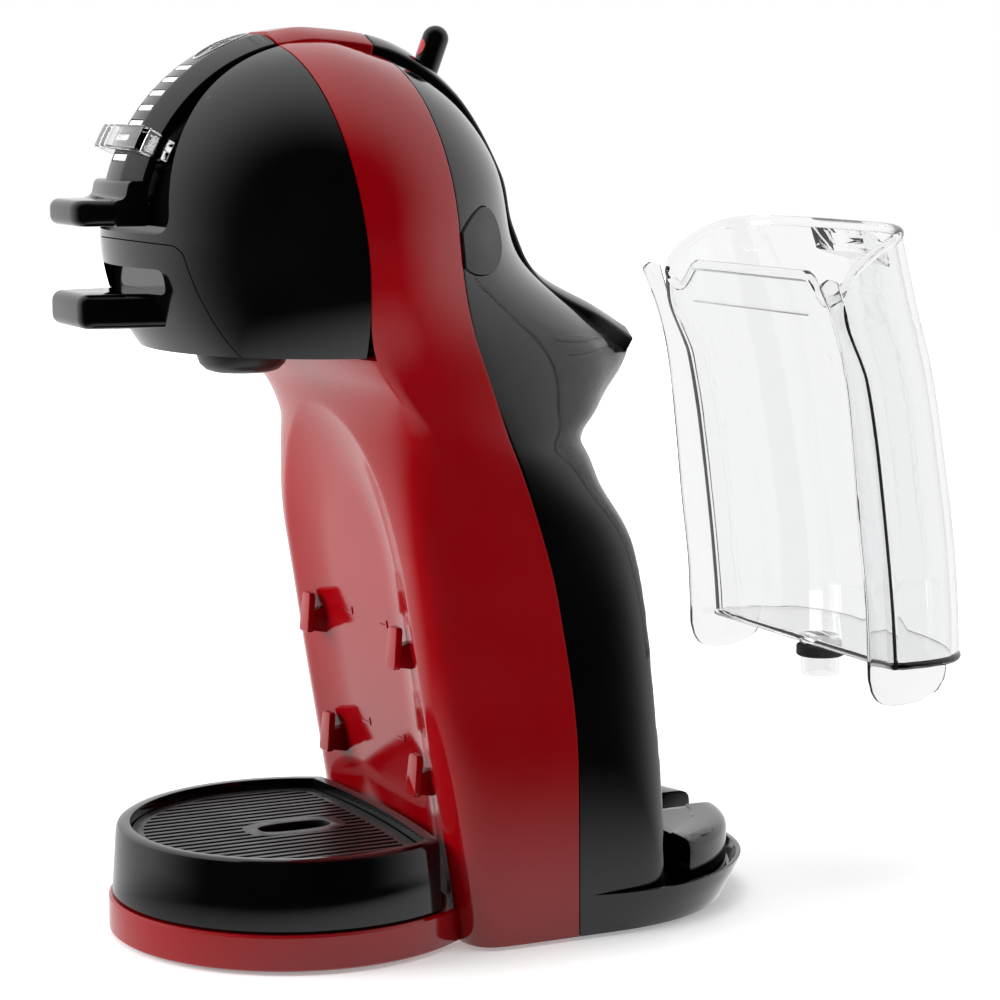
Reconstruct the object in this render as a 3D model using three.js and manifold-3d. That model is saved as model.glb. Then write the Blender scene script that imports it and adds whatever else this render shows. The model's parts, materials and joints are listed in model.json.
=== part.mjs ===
// Capsule espresso machine: a ball-shaped head over a leaning column on a round base,
// with a locking lever, a pull-out capsule drawer, a drip tray and a clear water tank.
// Millimetres, +Z up, -Y to the front, X across. The tank stands lifted off its dock.
import * as THREE from "three";
import { mergeVertices } from "three/addons/utils/BufferGeometryUtils.js";
import Module from "manifold-3d";

const wasm = await Module();
wasm.setup();

// ---------- driving dimensions ----------
const FRAME_Y = 83.2; // distance from the tray's centre to the middle of the machine's length
const GAP = 0.4; // clearance between neighbouring pieces
const WALL = 2.6; // shell thickness

const HEAD = { y: 4, z: 238, width: 80.5, radius: 64.5, bottom: 200 };
const RIDGE = { inner: 61, outer: 67.5, top: 7, side: 17.8, drop: 4, depth: 6 };
const LEVER = { pivotY: -14, pivotZ: 300, end: 12, handle: 16, tipY: -79.6, low: 241.4, high: 249.8 };
const HINGE = { pin: 0.9, pinHalf: 10, lug: 1.9, lugHalf: 3, knuckle: 2.9 };
const CHANNEL = { floor: 57.6, bottom: 239.2 };
const DRAWER = { top: 236, low: 200, handleLow: 208.6, handleHigh: 219.8, tipY: -78.4, split: -47 };
const NOZZLE = { y: -17, radius: 15.5, bottom: 191.5 };
const BASE = { radius: 63.7, low: 1.3, ring: 13.3, floor: 2.6 };
const TRAY = { radius: 62.5, rim: 60.8, low: 13.6, high: 37.3, wall: 2.4, back: 30.5 };
const GRILLE = { radius: 55.6, low: 31.2, thick: 2.6, slats: 23, pitch: 4.4, slot: 2.3 };
const REAR = { y: 97, foot: 63, lip: 70.5, lipZ: 15, floor: 11, sides: 52 };
const DOCK = { radius: 62, top: 27.6, well: 9.5, wellY: 134, wellFloor: 13.2 };
const TANK = { side: 64, wall: 2.2, low: 15.6, floor: 28.4, tube: 7.2, offY: 78, offZ: 53.5 };
const STICK = { y: 47, z: 283, radius: 4.5, length: 21, lean: 21 };
const BUTTON = { x: 62.8, y: 42.3, z: 238, turn: 41 };

const COLOURS = {
  red: [0x8c0a12, 0.25, 0],
  black: [0x0b0b0c, 0.15, 0],
  satin: [0x2c2c2e, 0.5, 0],
  clear: [0xe8edf0, 0.05, 0],
  light: [0xf2f2f2, 0.4, 0],
  rubber: [0x151515, 0.9, 0],
  steel: [0xb8bcc0, 0.3, 0.9],
  copper: [0xb87333, 0.4, 0.8],
  board: [0x1d5a34, 0.6, 0],
  inner: [0x3a3b3d, 0.6, 0],
};

// ---------- small geometry helpers ----------
// A closed three.js geometry as a manifold-3d solid.
function solid(geometry) {
  const bare = geometry.index ? geometry.toNonIndexed() : geometry.clone();
  for (const name of Object.keys(bare.attributes)) {
    if (name !== "position") bare.deleteAttribute(name);
  }
  const merged = mergeVertices(bare, 1e-4);
  const index = merged.index.array;
  const kept = [];
  for (let i = 0; i < index.length; i += 3) {
    const [a, b, c] = [index[i], index[i + 1], index[i + 2]];
    if (a !== b && b !== c && c !== a) kept.push(a, b, c);
  }
  const vertProperties = new Float32Array(merged.attributes.position.array);
  const made = new wasm.Manifold(
    new wasm.Mesh({ numProp: 3, vertProperties, triVerts: new Uint32Array(kept) }),
  );
  if (made.volume() > 0) return made;
  const triVerts = new Uint32Array(kept.reverse()); // faces turned outwards
  return new wasm.Manifold(new wasm.Mesh({ numProp: 3, vertProperties, triVerts }));
}

// A manifold-3d solid as a three.js geometry.
function geometryOf(shape) {
  const mesh = shape.getMesh();
  const geometry = new THREE.BufferGeometry();
  const count = mesh.vertProperties.length / mesh.numProp;
  const points = new Float32Array(count * 3);
  for (let i = 0; i < count; i++) {
    for (let k = 0; k < 3; k++) points[3 * i + k] = mesh.vertProperties[i * mesh.numProp + k];
  }
  geometry.setAttribute("position", new THREE.BufferAttribute(points, 3));
  geometry.setIndex(new THREE.BufferAttribute(new Uint32Array(mesh.triVerts), 1));
  return geometry;
}

const box = (x0, x1, y0, y1, z0, z1) =>
  solid(
    new THREE.BoxGeometry(x1 - x0, y1 - y0, z1 - z0).translate(
      (x0 + x1) / 2,
      (y0 + y1) / 2,
      (z0 + z1) / 2,
    ),
  );

// A round bar or cone between two heights of its own axis, which is turned to X, Y or Z.
function rod(axis, at, from, to, radius, radiusEnd = radius, sides = 28) {
  const geometry = new THREE.CylinderGeometry(radiusEnd, radius, to - from, sides);
  geometry.translate(0, (from + to) / 2, 0);
  if (axis === "x") geometry.rotateZ(-Math.PI / 2);
  if (axis === "z") geometry.rotateX(Math.PI / 2);
  return solid(geometry.translate(...at));
}

// A solid of revolution about a vertical axis, from [radius, height] pairs.
const turned = (x, y, profile, sides = 48) =>
  solid(
    new THREE.LatheGeometry(profile.map(([r, z]) => new THREE.Vector2(r, z)), sides)
      .rotateX(Math.PI / 2)
      .translate(x, y, 0),
  );

// An outline extruded along X (outline in Y, Z), along Y (in X, Z) or along Z (in X, Y).
function prism(axis, shape, from, to, curveSegments = 12) {
  const geometry = new THREE.ExtrudeGeometry(shape, {
    depth: to - from,
    bevelEnabled: false,
    curveSegments,
  });
  geometry.translate(0, 0, from);
  if (axis === "x") geometry.rotateX(Math.PI / 2).rotateZ(Math.PI / 2);
  if (axis === "y") geometry.rotateX(Math.PI / 2).scale(1, -1, 1);
  return solid(geometry);
}

const outline = (points) => new THREE.Shape(points.map(([a, b]) => new THREE.Vector2(a, b)));
function roundedRectangle(a0, a1, b0, b1, r) {
  const s = new THREE.Shape();
  s.moveTo(a0 + r, b0).lineTo(a1 - r, b0);
  s.absarc(a1 - r, b0 + r, r, -Math.PI / 2, 0, false);
  s.absarc(a1 - r, b1 - r, r, 0, Math.PI / 2, false);
  s.absarc(a0 + r, b1 - r, r, Math.PI / 2, Math.PI, false);
  s.absarc(a0 + r, b0 + r, r, Math.PI, 1.5 * Math.PI, false);
  return s;
}

// A smooth curve through [height, value] stations that never overshoots them.
function through(stations) {
  const n = stations.length;
  const rise = (i) =>
    (stations[i + 1][1] - stations[i][1]) / (stations[i + 1][0] - stations[i][0]);
  const slope = stations.map((_, i) => {
    if (i === 0) return rise(0);
    if (i === n - 1) return rise(n - 2);
    const [a, b] = [rise(i - 1), rise(i)];
    return a * b <= 0 ? 0 : (2 * a * b) / (a + b);
  });
  return (z) => {
    if (z <= stations[0][0]) return stations[0][1];
    if (z >= stations[n - 1][0]) return stations[n - 1][1];
    let i = 0;
    while (z > stations[i + 1][0]) i++;
    const span = stations[i + 1][0] - stations[i][0];
    const t = (z - stations[i][0]) / span;
    const [t2, t3] = [t * t, t * t * t];
    return (
      stations[i][1] * (2 * t3 - 3 * t2 + 1) +
      slope[i] * span * (t3 - 2 * t2 + t) +
      stations[i + 1][1] * (3 * t2 - 2 * t3) +
      slope[i + 1] * span * (t3 - t2)
    );
  };
}

const tubeAlong = (points, radius, sides = 8, steps = 14) => {
  const ring = new THREE.Shape();
  ring.absarc(0, 0, radius, 0, 2 * Math.PI, false);
  const path = new THREE.CatmullRomCurve3(points.map((p) => new THREE.Vector3(...p)));
  return solid(
    new THREE.ExtrudeGeometry(ring, { steps, extrudePath: path, curveSegments: sides / 2 }),
  );
};

const joined = (...shapes) => shapes.reduce((a, b) => a.add(b));
const cut = (shape, ...tools) => tools.reduce((a, b) => a.subtract(b), shape);

// ---------- the outer skin: level sections from the base to the top of the head ----------
const lowerWidth = through([
  [0, 63.5],
  [118, 63.5],
  [145, 61.2],
  [174, 58.2],
  [188, 59.5],
  [HEAD.bottom, 65.05],
]);
const lowerFront = through([
  [0, 39],
  [42, 32.3],
  [86, 24.8],
  [130, 18],
  [159, 13.2],
  [184, 8],
  [HEAD.bottom - 0.5, -1.5],
]);
const frontRoundness = through([
  [0, 9],
  [130, 9],
  [159, 4.3],
  [174, 2.5],
  [188, 2.2],
  [HEAD.bottom - 0.5, 6],
]);
const widestY = through([
  [0, 76],
  [66, 75],
  [107, 71],
  [145, 50],
  [172, 30],
  [HEAD.bottom, 6],
  [206, 4],
]);
const backY = through([
  [0, 124],
  [90, 116],
  [131, 109],
  [155, 98.8],
  [166, 99],
  [180, 117.5],
  [188, 125.3],
  [195, 128.2],
  [200, 124.5],
  [208, 111.5],
  [220, 88],
  [236, 77.5],
  [258, 70.5],
  [276, 59],
  [292, 39],
  [302.4, 8],
]);
const rearRoundness = through([
  [0, 5],
  [140, 5],
  [158, 3.4],
  [172, 2.1],
  [190, 1.5],
  [222, 1.55],
  [260, 1.75],
  [302, 2],
]);

const CROWN = 302.4; // height of the last section of the skin
const SKIN_LEVELS = [
  42, 80, 110, 132, 147, 158, 168, 176, 184, 191, 196.5, HEAD.bottom - 0.3,
  HEAD.bottom + 0.3, 208, 218, 230, 243, 255, 266, 276, 285, 292, 297.5, 301,
];
// Fewer levels do for the inside, where the skin is straight or bulges evenly.
const INNER_LEVELS = [
  80, 132, 147, 158, 168, 176, 184, 191, HEAD.bottom - 0.3, HEAD.bottom + 0.3, 218, 243, 266, 285,
  297.5,
];
const SKIN_SIDES = 28;

// Half width, front, widest and back position of the skin at one height.
function section(z) {
  const low = z < HEAD.bottom;
  const rise = Math.min(1, Math.abs(z - HEAD.z) / HEAD.radius);
  const ball = Math.sqrt(Math.max(0, 1 - rise * rise));
  return {
    width: low ? lowerWidth(z) : HEAD.width * ball,
    front: low ? lowerFront(z) : HEAD.y - HEAD.radius * ball,
    middle: widestY(z),
    back: backY(z),
    frontPower: low ? frontRoundness(z) : 2,
    rearPower: rearRoundness(z),
  };
}

const signedPower = (v, p) => Math.sign(v) * Math.abs(v) ** p;

// One closed loop of the skin, drawn inwards by inset.
function skinLoop(z, inset) {
  const s = section(z);
  const loop = [];
  for (let i = 0; i < SKIN_SIDES; i++) {
    const turn = (2 * Math.PI * (i + 0.5)) / SKIN_SIDES - Math.PI / 2;
    const back = Math.sin(turn) > 0;
    const power = 2 / (back ? s.rearPower : s.frontPower);
    const reach = back ? s.back - s.middle : s.middle - s.front;
    const x = Math.max(0.4, s.width - inset) * signedPower(Math.cos(turn), power);
    const y = s.middle + Math.max(0.4, reach - inset) * signedPower(Math.sin(turn), power);
    loop.push([x, y]);
  }
  return loop;
}

// A closed solid through loops of points that all have the same count, with flat ends.
function loft(given, flatten) {
  const first = given[0].map((p) => new THREE.Vector2(...flatten(p)));
  const turnRound = THREE.ShapeUtils.isClockWise(first);
  const loops = turnRound ? given.map((loop) => [...loop].reverse()) : given;
  const sides = loops[0].length;
  const at = (level, i) => level * sides + (i % sides);
  const faces = [];
  for (let level = 0; level + 1 < loops.length; level++) {
    for (let i = 0; i < sides; i++) {
      faces.push(at(level, i), at(level, i + 1), at(level + 1, i + 1));
      faces.push(at(level, i), at(level + 1, i + 1), at(level + 1, i));
    }
  }
  for (const level of [0, loops.length - 1]) {
    const flat = loops[level].map((p) => new THREE.Vector2(...flatten(p)));
    for (const [a, b, c] of THREE.ShapeUtils.triangulateShape(flat, [])) {
      const [p, q, r] = [a, b, c].map((k) => at(level, k));
      if (level === 0) faces.push(p, r, q);
      else faces.push(p, q, r);
    }
  }
  const geometry = new THREE.BufferGeometry();
  geometry.setAttribute("position", new THREE.Float32BufferAttribute(loops.flat(2), 3));
  geometry.setIndex(faces);
  return solid(geometry);
}

// The skin as a solid between two heights; inset draws it inwards on every side and on top.
function skin(inset, low = 0, high = CROWN) {
  const every = inset > 0 ? INNER_LEVELS : SKIN_LEVELS;
  const levels = every.filter((z) => z > low + 0.2 && z < high - 0.2);
  const lowered = (z) => (z > HEAD.z ? z - (inset * (z - HEAD.z)) / HEAD.radius : z);
  const loops = [low, ...levels, high].map((z) =>
    skinLoop(z, inset).map(([x, y]) => [x, y, lowered(z)]),
  );
  return loft(loops, ([x, y]) => [x, y]);
}

// The seams between black and red, seen from the side, as [y, z].
const frontSeam = new THREE.QuadraticBezierCurve(
  new THREE.Vector2(-10.5, 312),
  new THREE.Vector2(-9.5, 254),
  new THREE.Vector2(0.5, HEAD.bottom - 0.8),
);
const rearSeam = new THREE.SplineCurve(
  [
    [24, 314],
    [27.5, 262],
    [33.5, 221],
    [51, 178],
    [70, 115],
    [77.5, 58],
    [78, -4],
  ].map(([y, z]) => new THREE.Vector2(y, z)),
);

// Everything on one side of a seam, shifted along Y; side -1 is in front of it, +1 behind.
function besideSeam(curve, side, shift = 0) {
  const points = curve.getPoints(24).map((p) => [p.x + shift, p.y]);
  const first = points[0];
  const last = points[points.length - 1];
  const far = side * 260;
  return prism("x", outline([...points, [far, last[1]], [far, first[1]]]), -120, 120);
}

// A ring about the head's own axis, cut to the angles from and to (degrees above the
// horizontal at the front). Its section is a list of [radius, x] corners.
function headBand(from, to, corners) {
  const profile = [...corners, corners[0]].map(([r, x]) => new THREE.Vector2(r, x));
  const ring = new THREE.LatheGeometry(profile, 96);
  ring.rotateZ(-Math.PI / 2).translate(0, HEAD.y, HEAD.z);
  return solid(ring).intersect(sector(180 - to, to - from));
}

// A wedge about the head's axis, from angle start (anticlockwise from +Y) over sweep degrees.
function sector(start, sweep, reach = 130) {
  const s = new THREE.Shape();
  s.moveTo(HEAD.y, HEAD.z);
  for (let k = 0; k <= 8; k++) {
    const a = THREE.MathUtils.degToRad(start + (sweep * k) / 8);
    s.lineTo(HEAD.y + reach * Math.cos(a), HEAD.z + reach * Math.sin(a));
  }
  return prism("x", s, -100, 100);
}

// ---------- the model ----------
const machine = new THREE.Group();
machine.position.y = -FRAME_Y;

function add(name, colour, shape, parent = machine) {
  const [hex, roughness, metalness] = COLOURS[colour];
  const material = new THREE.MeshStandardMaterial({ color: hex, roughness, metalness });
  if (colour === "clear") {
    material.transparent = true;
    material.opacity = 0.3;
  }
  const mesh = new THREE.Mesh(geometryOf(shape), material);
  mesh.name = name;
  parent.add(mesh);
  return mesh;
}

// ---------- shells ----------
const outerSkin = skin(0, BASE.low);
const innerSkin = skin(WALL, -2);
const aboveBottom = box(-120, 120, -120, 200, HEAD.bottom + 0.4, 330);
const belowHead = box(-120, 120, -120, 200, -10, HEAD.bottom - 0.4);
const behindFrontSeam = joined(besideSeam(frontSeam, 1, GAP / 2), belowHead);
const aheadOfFrontSeam = besideSeam(frontSeam, -1, -GAP / 2).intersect(aboveBottom);
const aheadOfRearSeam = besideSeam(rearSeam, -1, -GAP / 2);
const behindRearSeam = besideSeam(rearSeam, 1, GAP / 2);

// The tall arch-shaped scoop in the column's front face.
const SCOOP = { half: 50, low: BASE.ring + 0.01, spring: 122, rise: 58, depth: 5 };
function scoopArch(grow) {
  const s = new THREE.Shape();
  s.moveTo(-SCOOP.half - grow, SCOOP.low - grow);
  s.lineTo(SCOOP.half + grow, SCOOP.low - grow);
  s.absellipse(0, SCOOP.spring, SCOOP.half + grow, SCOOP.rise + grow, 0, Math.PI, false);
  return prism("y", s, -60, 58, 16);
}

const HOOK = { x: 38, width: 8, lip: 2.4, reach: 7.5, height: 14, fin: 3, levels: [57, 101] };
// A hook on the front face: an upright lip held out from the wall by a fin.
function cupHook(x, z) {
  const wallY = section(z).front + SCOOP.depth;
  const lipY = wallY - HOOK.reach;
  const lip = outline([
    [lipY, z - HOOK.height / 2],
    [lipY + HOOK.lip, z - HOOK.height / 2],
    [lipY + HOOK.lip + 1, z + HOOK.height / 2],
    [lipY + 1.6, z + HOOK.height / 2],
  ]);
  const fin = outline([
    [lipY + 1, z - HOOK.height / 2],
    [wallY + 2.4, z - HOOK.height / 2 - 1],
    [wallY + 1.6, z + HOOK.height / 2 - 5],
    [lipY + 1, z + HOOK.height / 2 - 7],
  ]);
  return prism("x", lip, x - HOOK.width / 2, x + HOOK.width / 2).add(
    prism("x", fin, x - HOOK.fin / 2, x + HOOK.fin / 2),
  );
}

const SCREWS = { front: [44, -14], rear: [34, 143], post: 4, hole: 1.7 };
const screwPost = ([x, y], top) =>
  joined(...[-1, 1].map((side) => rod("z", [side * x, y, 0], 3.8, top, SCREWS.post, SCREWS.post, 16)));
const screwHoles = ([x, y], top, radius = SCREWS.hole) =>
  joined(...[-1, 1].map((side) => rod("z", [side * x, y, 0], -3, top, radius, radius, 16)));

function frontShell() {
  const ring = rod("z", [0, 0, 0], BASE.low, BASE.ring, BASE.radius, BASE.radius, 56);
  const ringInside = rod(
    "z",
    [0, 0, 0],
    -2,
    BASE.ring - BASE.floor,
    BASE.radius - WALL,
    BASE.radius - WALL,
    56,
  );
  const frontOnly = box(-120, 120, -120, 46, 0, 200);
  const scoop = scoopArch(0).intersect(cut(skin(-1, BASE.low), skin(SCOOP.depth, 0)));
  const scoopBack = scoopArch(WALL).intersect(cut(outerSkin, skin(SCOOP.depth + WALL, 0)));
  const body = cut(joined(outerSkin, ring), scoop.intersect(frontOnly));
  const inside = cut(joined(innerSkin, ringInside), scoopBack.intersect(frontOnly));
  let shell = cut(body, inside).intersect(behindFrontSeam).intersect(aheadOfRearSeam);
  for (const z of HOOK.levels) {
    for (const side of [-1, 1]) shell = shell.add(cupHook(side * HOOK.x, z));
  }
  shell = shell.add(screwPost(SCREWS.front, BASE.ring - 1));
  return cut(shell, screwHoles(SCREWS.front, BASE.ring - BASE.floor));
}

// The strip over the middle of the head and down its back, as a sweep in the Y, Z plane.
const SPINE_PATH = [
  [-10.6, 303.9],
  [6, 305.4],
  [34, 300.9],
  [58, 284.6],
  [74, 259],
  [79, 240],
  [89, 223],
  [112, 210],
  [127.6, 200.6],
];
function spineStrip() {
  const curve = new THREE.SplineCurve(SPINE_PATH.map(([y, z]) => new THREE.Vector2(y, z)));
  const { top, side, drop } = RIDGE;
  const corners = [
    [-side, -drop],
    [-top, 0],
    [top, 0],
    [side, -drop],
    [side, -drop - RIDGE.depth],
    [-side, -drop - RIDGE.depth],
  ];
  const loops = [];
  const steps = 24;
  for (let i = 0; i <= steps; i++) {
    const p = curve.getPoint(i / steps);
    const t = curve.getTangent(i / steps);
    loops.push(corners.map(([x, h]) => [x, p.x - t.y * h, p.y + t.x * h]));
  }
  return loft(loops, (p) => [p[0], p[2]]);
}

const STICK_SLOT = box(-9.8, 9.8, STICK.y - 5.2, STICK.y + 11.5, STICK.z - 10, 330);
function ridgeCover() {
  return cut(spineStrip(), skin(-0.35, 120)).intersect(aheadOfRearSeam);
}
function spineCover() {
  const strip = cut(spineStrip(), skin(-0.35, 120)).intersect(behindRearSeam);
  return cut(strip, STICK_SLOT);
}

// Rear edge of the column's outer side, where the tank's side wings tuck in, as y over z.
const wingSeat = through([
  [0, 114.5],
  [46, 112.8],
  [78, 109],
  [106, 106],
  [132, 102.5],
  [155, 95.5],
  [170, 88],
]);
const WING = { low: REAR.lipZ - 0.6, high: 167, depth: 1.2 };

function wingRegion(shift, low, high, farY = 190) {
  const edge = [];
  for (let k = 0; k <= 14; k++) {
    const z = low + ((high - low) * k) / 14;
    edge.push([wingSeat(z) + shift, z]);
  }
  return prism("x", outline([...edge, [farY, high], [farY, low]]), -120, 120);
}

// A loop of the rear base's outline at one height: it flares out to the lip.
function rearBase(low, high, inset) {
  const loops = [low, high].map((z) => {
    const t = (z - BASE.low) / (REAR.lipZ - BASE.low);
    const radius = THREE.MathUtils.lerp(REAR.foot, REAR.lip - 4, t) - inset;
    const y = THREE.MathUtils.lerp(REAR.y, REAR.y + 4.5, t);
    return Array.from({ length: REAR.sides }, (_, i) => {
      const a = (2 * Math.PI * i) / REAR.sides;
      return [radius * Math.cos(a), y + radius * Math.sin(a), z];
    });
  });
  return loft(loops, ([x, y]) => [x, y]);
}

// Stands a piece built along +X on the button's spot of the skin, facing outwards.
const atButton = (geometry) =>
  solid(
    geometry.rotateZ(THREE.MathUtils.degToRad(BUTTON.turn)).translate(BUTTON.x, BUTTON.y, BUTTON.z),
  );

// A rounded-triangle bar through the skin at the button, from and to counted outwards.
function buttonBar(grow, from, to) {
  const s = new THREE.Shape();
  const corners = [
    { a: -10.5, b: -6.5, r: 5.5, start: 0.85, end: 1.52 },
    { a: 9.5, b: -5.5, r: 7, start: 1.5, end: 2.28 },
    { a: -2, b: 8.2, r: 4.3, start: 0.28, end: 0.85 },
  ];
  for (const { a, b, r, start, end } of corners) {
    s.absarc(a, b, r + grow, start * Math.PI, end * Math.PI, false);
  }
  const bar = new THREE.ExtrudeGeometry(s, { depth: to - from, bevelEnabled: false, curveSegments: 6 });
  return atButton(bar.translate(0, 0, from).rotateX(Math.PI / 2).rotateZ(Math.PI / 2));
}

const GLAND = { x: -30, z: 5.9, radius: 2.3 };
const INLET = { radius: 3.4, bore: 2, hole: 3.9 };
const inletHole = rod("z", [0, DOCK.wellY, 0], -5, 30, INLET.hole, INLET.hole, 24);

function rearShell() {
  const flareSide = box(-120, 120, REAR.y + 3, 220, -5, REAR.lipZ + 1);
  const flare = rearBase(BASE.low, REAR.lipZ, 0).intersect(flareSide);
  const body = joined(outerSkin, flare);
  const under = rearBase(-2, REAR.floor - WALL, WALL + 0.3).intersect(flareSide);
  const trench = cut(rearBase(REAR.floor, REAR.lipZ + 6, WALL), outerSkin).intersect(flareSide);
  const wingSkin = cut(skin(-1, BASE.low), skin(WING.depth, 0));
  const wings = wingRegion(0, WING.low, WING.high).intersect(wingSkin);
  let shell = cut(body, innerSkin, under, trench, wings).intersect(behindRearSeam);
  shell = shell.add(screwPost(SCREWS.rear, REAR.floor - 1));
  shell = cut(shell, screwHoles(SCREWS.rear, REAR.floor - WALL), inletHole, STICK_SLOT);
  return cut(shell, buttonBar(GAP, -9, 20), rod("y", [GLAND.x, 0, GLAND.z], 120, 175, 2.6, 2.6, 16));
}

// ---------- head ----------
// Front outline of the channel that the lever lies in, as [half width, height].
function channelOutline(grow) {
  const side = new THREE.SplineCurve(
    [
      [19.4, 320],
      [19.5, 301],
      [22.4, 287],
      [27, 272],
      [31.5, 256],
      [34, 245.5],
    ].map(([x, z]) => new THREE.Vector2(x + grow, z)),
  ).getPoints(14);
  const low = CHANNEL.bottom - grow;
  const round = new THREE.QuadraticBezierCurve(
    side[side.length - 1],
    new THREE.Vector2(34.2 + grow, low),
    new THREE.Vector2(27, low),
  ).getPoints(5);
  const right = [...side, ...round.slice(1)].map((p) => [p.x, p.y]);
  const left = right.map(([x, z]) => [-x, z]).reverse();
  return outline([...right, ...left]);
}

const headCore = (radius) => rod("x", [0, HEAD.y, HEAD.z], -90, 90, radius, radius, 96);

// Front outline of the capsule drawer's panel.
function drawerOutline(grow) {
  const right = new THREE.SplineCurve(
    [
      [36.5, 235.6],
      [39.6, 233.4],
      [41, 229],
      [42.6, 221],
      [43.8, 212],
      [44.6, DRAWER.low - 2],
    ].map(([x, z]) => new THREE.Vector2(x + grow, z + grow * 0.7)),
  ).getPoints(12);
  const side = right.map((p) => [p.x, p.y]);
  const top = [0, DRAWER.top + 0.6 + grow];
  return outline([top, ...side, ...side.map(([x, z]) => [-x, z]).reverse()]);
}

function headCasing() {
  const front = outerSkin.intersect(aheadOfFrontSeam);
  const shell = cut(front, innerSkin);
  const trough = cut(
    front.intersect(prism("y", channelOutline(2.4), -120, 8)),
    headCore(CHANNEL.floor - 2.4),
  );
  const channel = cut(prism("y", channelOutline(0), -120, 8), headCore(CHANNEL.floor));
  const opening = prism("y", drawerOutline(GAP), -120, -6);
  const body = cut(joined(shell, trough), channel, opening);
  return cut(body.add(hingeLug()), hingeBar(HINGE.pin + 0.25, 40));
}

const hingeBar = (radius, half) =>
  rod("x", [0, LEVER.pivotY, LEVER.pivotZ], -half, half, radius, radius, 24);

// The post in the channel that carries the lever's pin.
function hingeLug() {
  const { pivotY, pivotZ } = LEVER;
  const { lug, lugHalf } = HINGE;
  const post = box(-lugHalf, lugHalf, pivotY - lug, pivotY + lug, pivotZ - 8.6, pivotZ);
  return post.add(hingeBar(lug, lugHalf));
}

// The slot in the lever's end that leaves room for the post through the whole swing.
function hingeSlot() {
  const { pivotY, pivotZ } = LEVER;
  const radius = HINGE.lug + GAP;
  const half = HINGE.lugHalf + GAP;
  const below = box(-half, half, pivotY - radius, pivotY + 9, pivotZ - 20, pivotZ);
  const behind = box(-half, half, pivotY + 1.2, pivotY + 9, pivotZ - 1, pivotZ + 1.5);
  return joined(below, behind, hingeBar(radius, half));
}

function headUnderside() {
  const slab = skin(WALL + GAP, 190).intersect(
    box(-90, 90, -90, 22, HEAD.bottom + 0.9, HEAD.bottom + 3.3),
  );
  const slot = NOZZLE.radius + 1.2;
  return cut(
    slab,
    box(-slot, slot, -90, NOZZLE.y + slot, 190, 220),
    prism("y", drawerOutline(GAP + 0.2), -120, -24),
  );
}

// ---------- lever, slider, display ----------
const LIGHTS = { count: 7, first: 21.9, pitch: 5.25, half: 6.2, width: 2.1, depth: 1.4 };
const SLIDER = { light: 1, half: 3.4, inner: 18.3, leg: 2.2, low: 58.8, high: 70.6 };
const sliderAngle = LIGHTS.first + LIGHTS.pitch * SLIDER.light;

function lockingLever() {
  const { inner, outer, top, side, drop } = RIDGE;
  const reach = Math.atan2(LEVER.pivotZ - HEAD.z, HEAD.y - LEVER.pivotY);
  const profile = [
    [inner, -side],
    [outer - drop, -side],
    [outer, -top],
    [outer, top],
    [outer - drop, side],
    [inner, side],
  ];
  const end = THREE.MathUtils.radToDeg(reach);
  const strip = headBand(LEVER.end, end, profile);
  const knuckle = hingeBar(HINGE.knuckle, side).intersect(headBand(end - 5, end + 5, profile));
  const plan = new THREE.Shape();
  const w = LEVER.handle;
  plan.moveTo(-w - 1.5, -58);
  plan.lineTo(-w, LEVER.tipY + 7);
  plan.quadraticCurveTo(-w, LEVER.tipY + 1, -w + 6, LEVER.tipY + 0.6);
  plan.quadraticCurveTo(0, LEVER.tipY - 0.6, w - 6, LEVER.tipY + 0.6);
  plan.quadraticCurveTo(w, LEVER.tipY + 1, w, LEVER.tipY + 7);
  plan.lineTo(w + 1.5, -58);
  const handle = prism("z", plan, LEVER.low, LEVER.high, 6);
  const root = prism(
    "x",
    outline([
      [-55.6, LEVER.low],
      [-66, LEVER.low],
      [-66, LEVER.high],
      [-63.4, 252.4],
      [-61.6, 258],
      [-55, 258],
    ]),
    -side,
    side,
  );
  const slots = [];
  for (let i = 0; i < LIGHTS.count; i++) slots.push(lightBar(i, 0.3, 2));
  const badge = badgePlate(0.3);
  const bore = hingeBar(HINGE.pin + 0.25, HINGE.pinHalf + 0.3);
  return cut(joined(strip, knuckle, handle, root), ...slots, badge, bore, hingeSlot());
}

// One light bar across the strip; grow widens it for its pocket.
function lightBar(i, grow, lift = 0) {
  const angle = THREE.MathUtils.degToRad(LIGHTS.first + LIGHTS.pitch * i);
  const depth = LIGHTS.depth + grow;
  const bar = new THREE.BoxGeometry(
    2 * (LIGHTS.half + grow),
    depth + lift,
    LIGHTS.width + 2 * grow,
  );
  bar.translate(0, -(RIDGE.outer - 0.15 - depth + (depth + lift) / 2), 0);
  bar.rotateX(-angle).translate(0, HEAD.y, HEAD.z);
  return solid(bar);
}

function badgePlate(grow) {
  const angle = THREE.MathUtils.degToRad(66.5);
  const plate = new THREE.CylinderGeometry(1, 1, 1 + grow, 40);
  plate.scale(6 + grow, 1, 10.4 + grow).translate(0, RIDGE.outer - 0.5 - (grow ? 0 : 0.15), 0);
  plate.rotateX(Math.PI - angle).translate(0, HEAD.y, HEAD.z);
  return solid(plate);
}

function volumeSlider() {
  const { inner, leg, low, high, half } = SLIDER;
  const ring = headBand(sliderAngle - half, sliderAngle + half, [
    [low, -inner - leg],
    [high, -inner - leg],
    [high, inner + leg],
    [low, inner + leg],
  ]);
  const hollow = headBand(sliderAngle - half - 2, sliderAngle + half + 2, [
    [RIDGE.inner - 0.4, -inner],
    [RIDGE.outer + 0.4, -inner],
    [RIDGE.outer + 0.4, inner],
    [RIDGE.inner - 0.4, inner],
  ]);
  return cut(ring, hollow);
}

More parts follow.
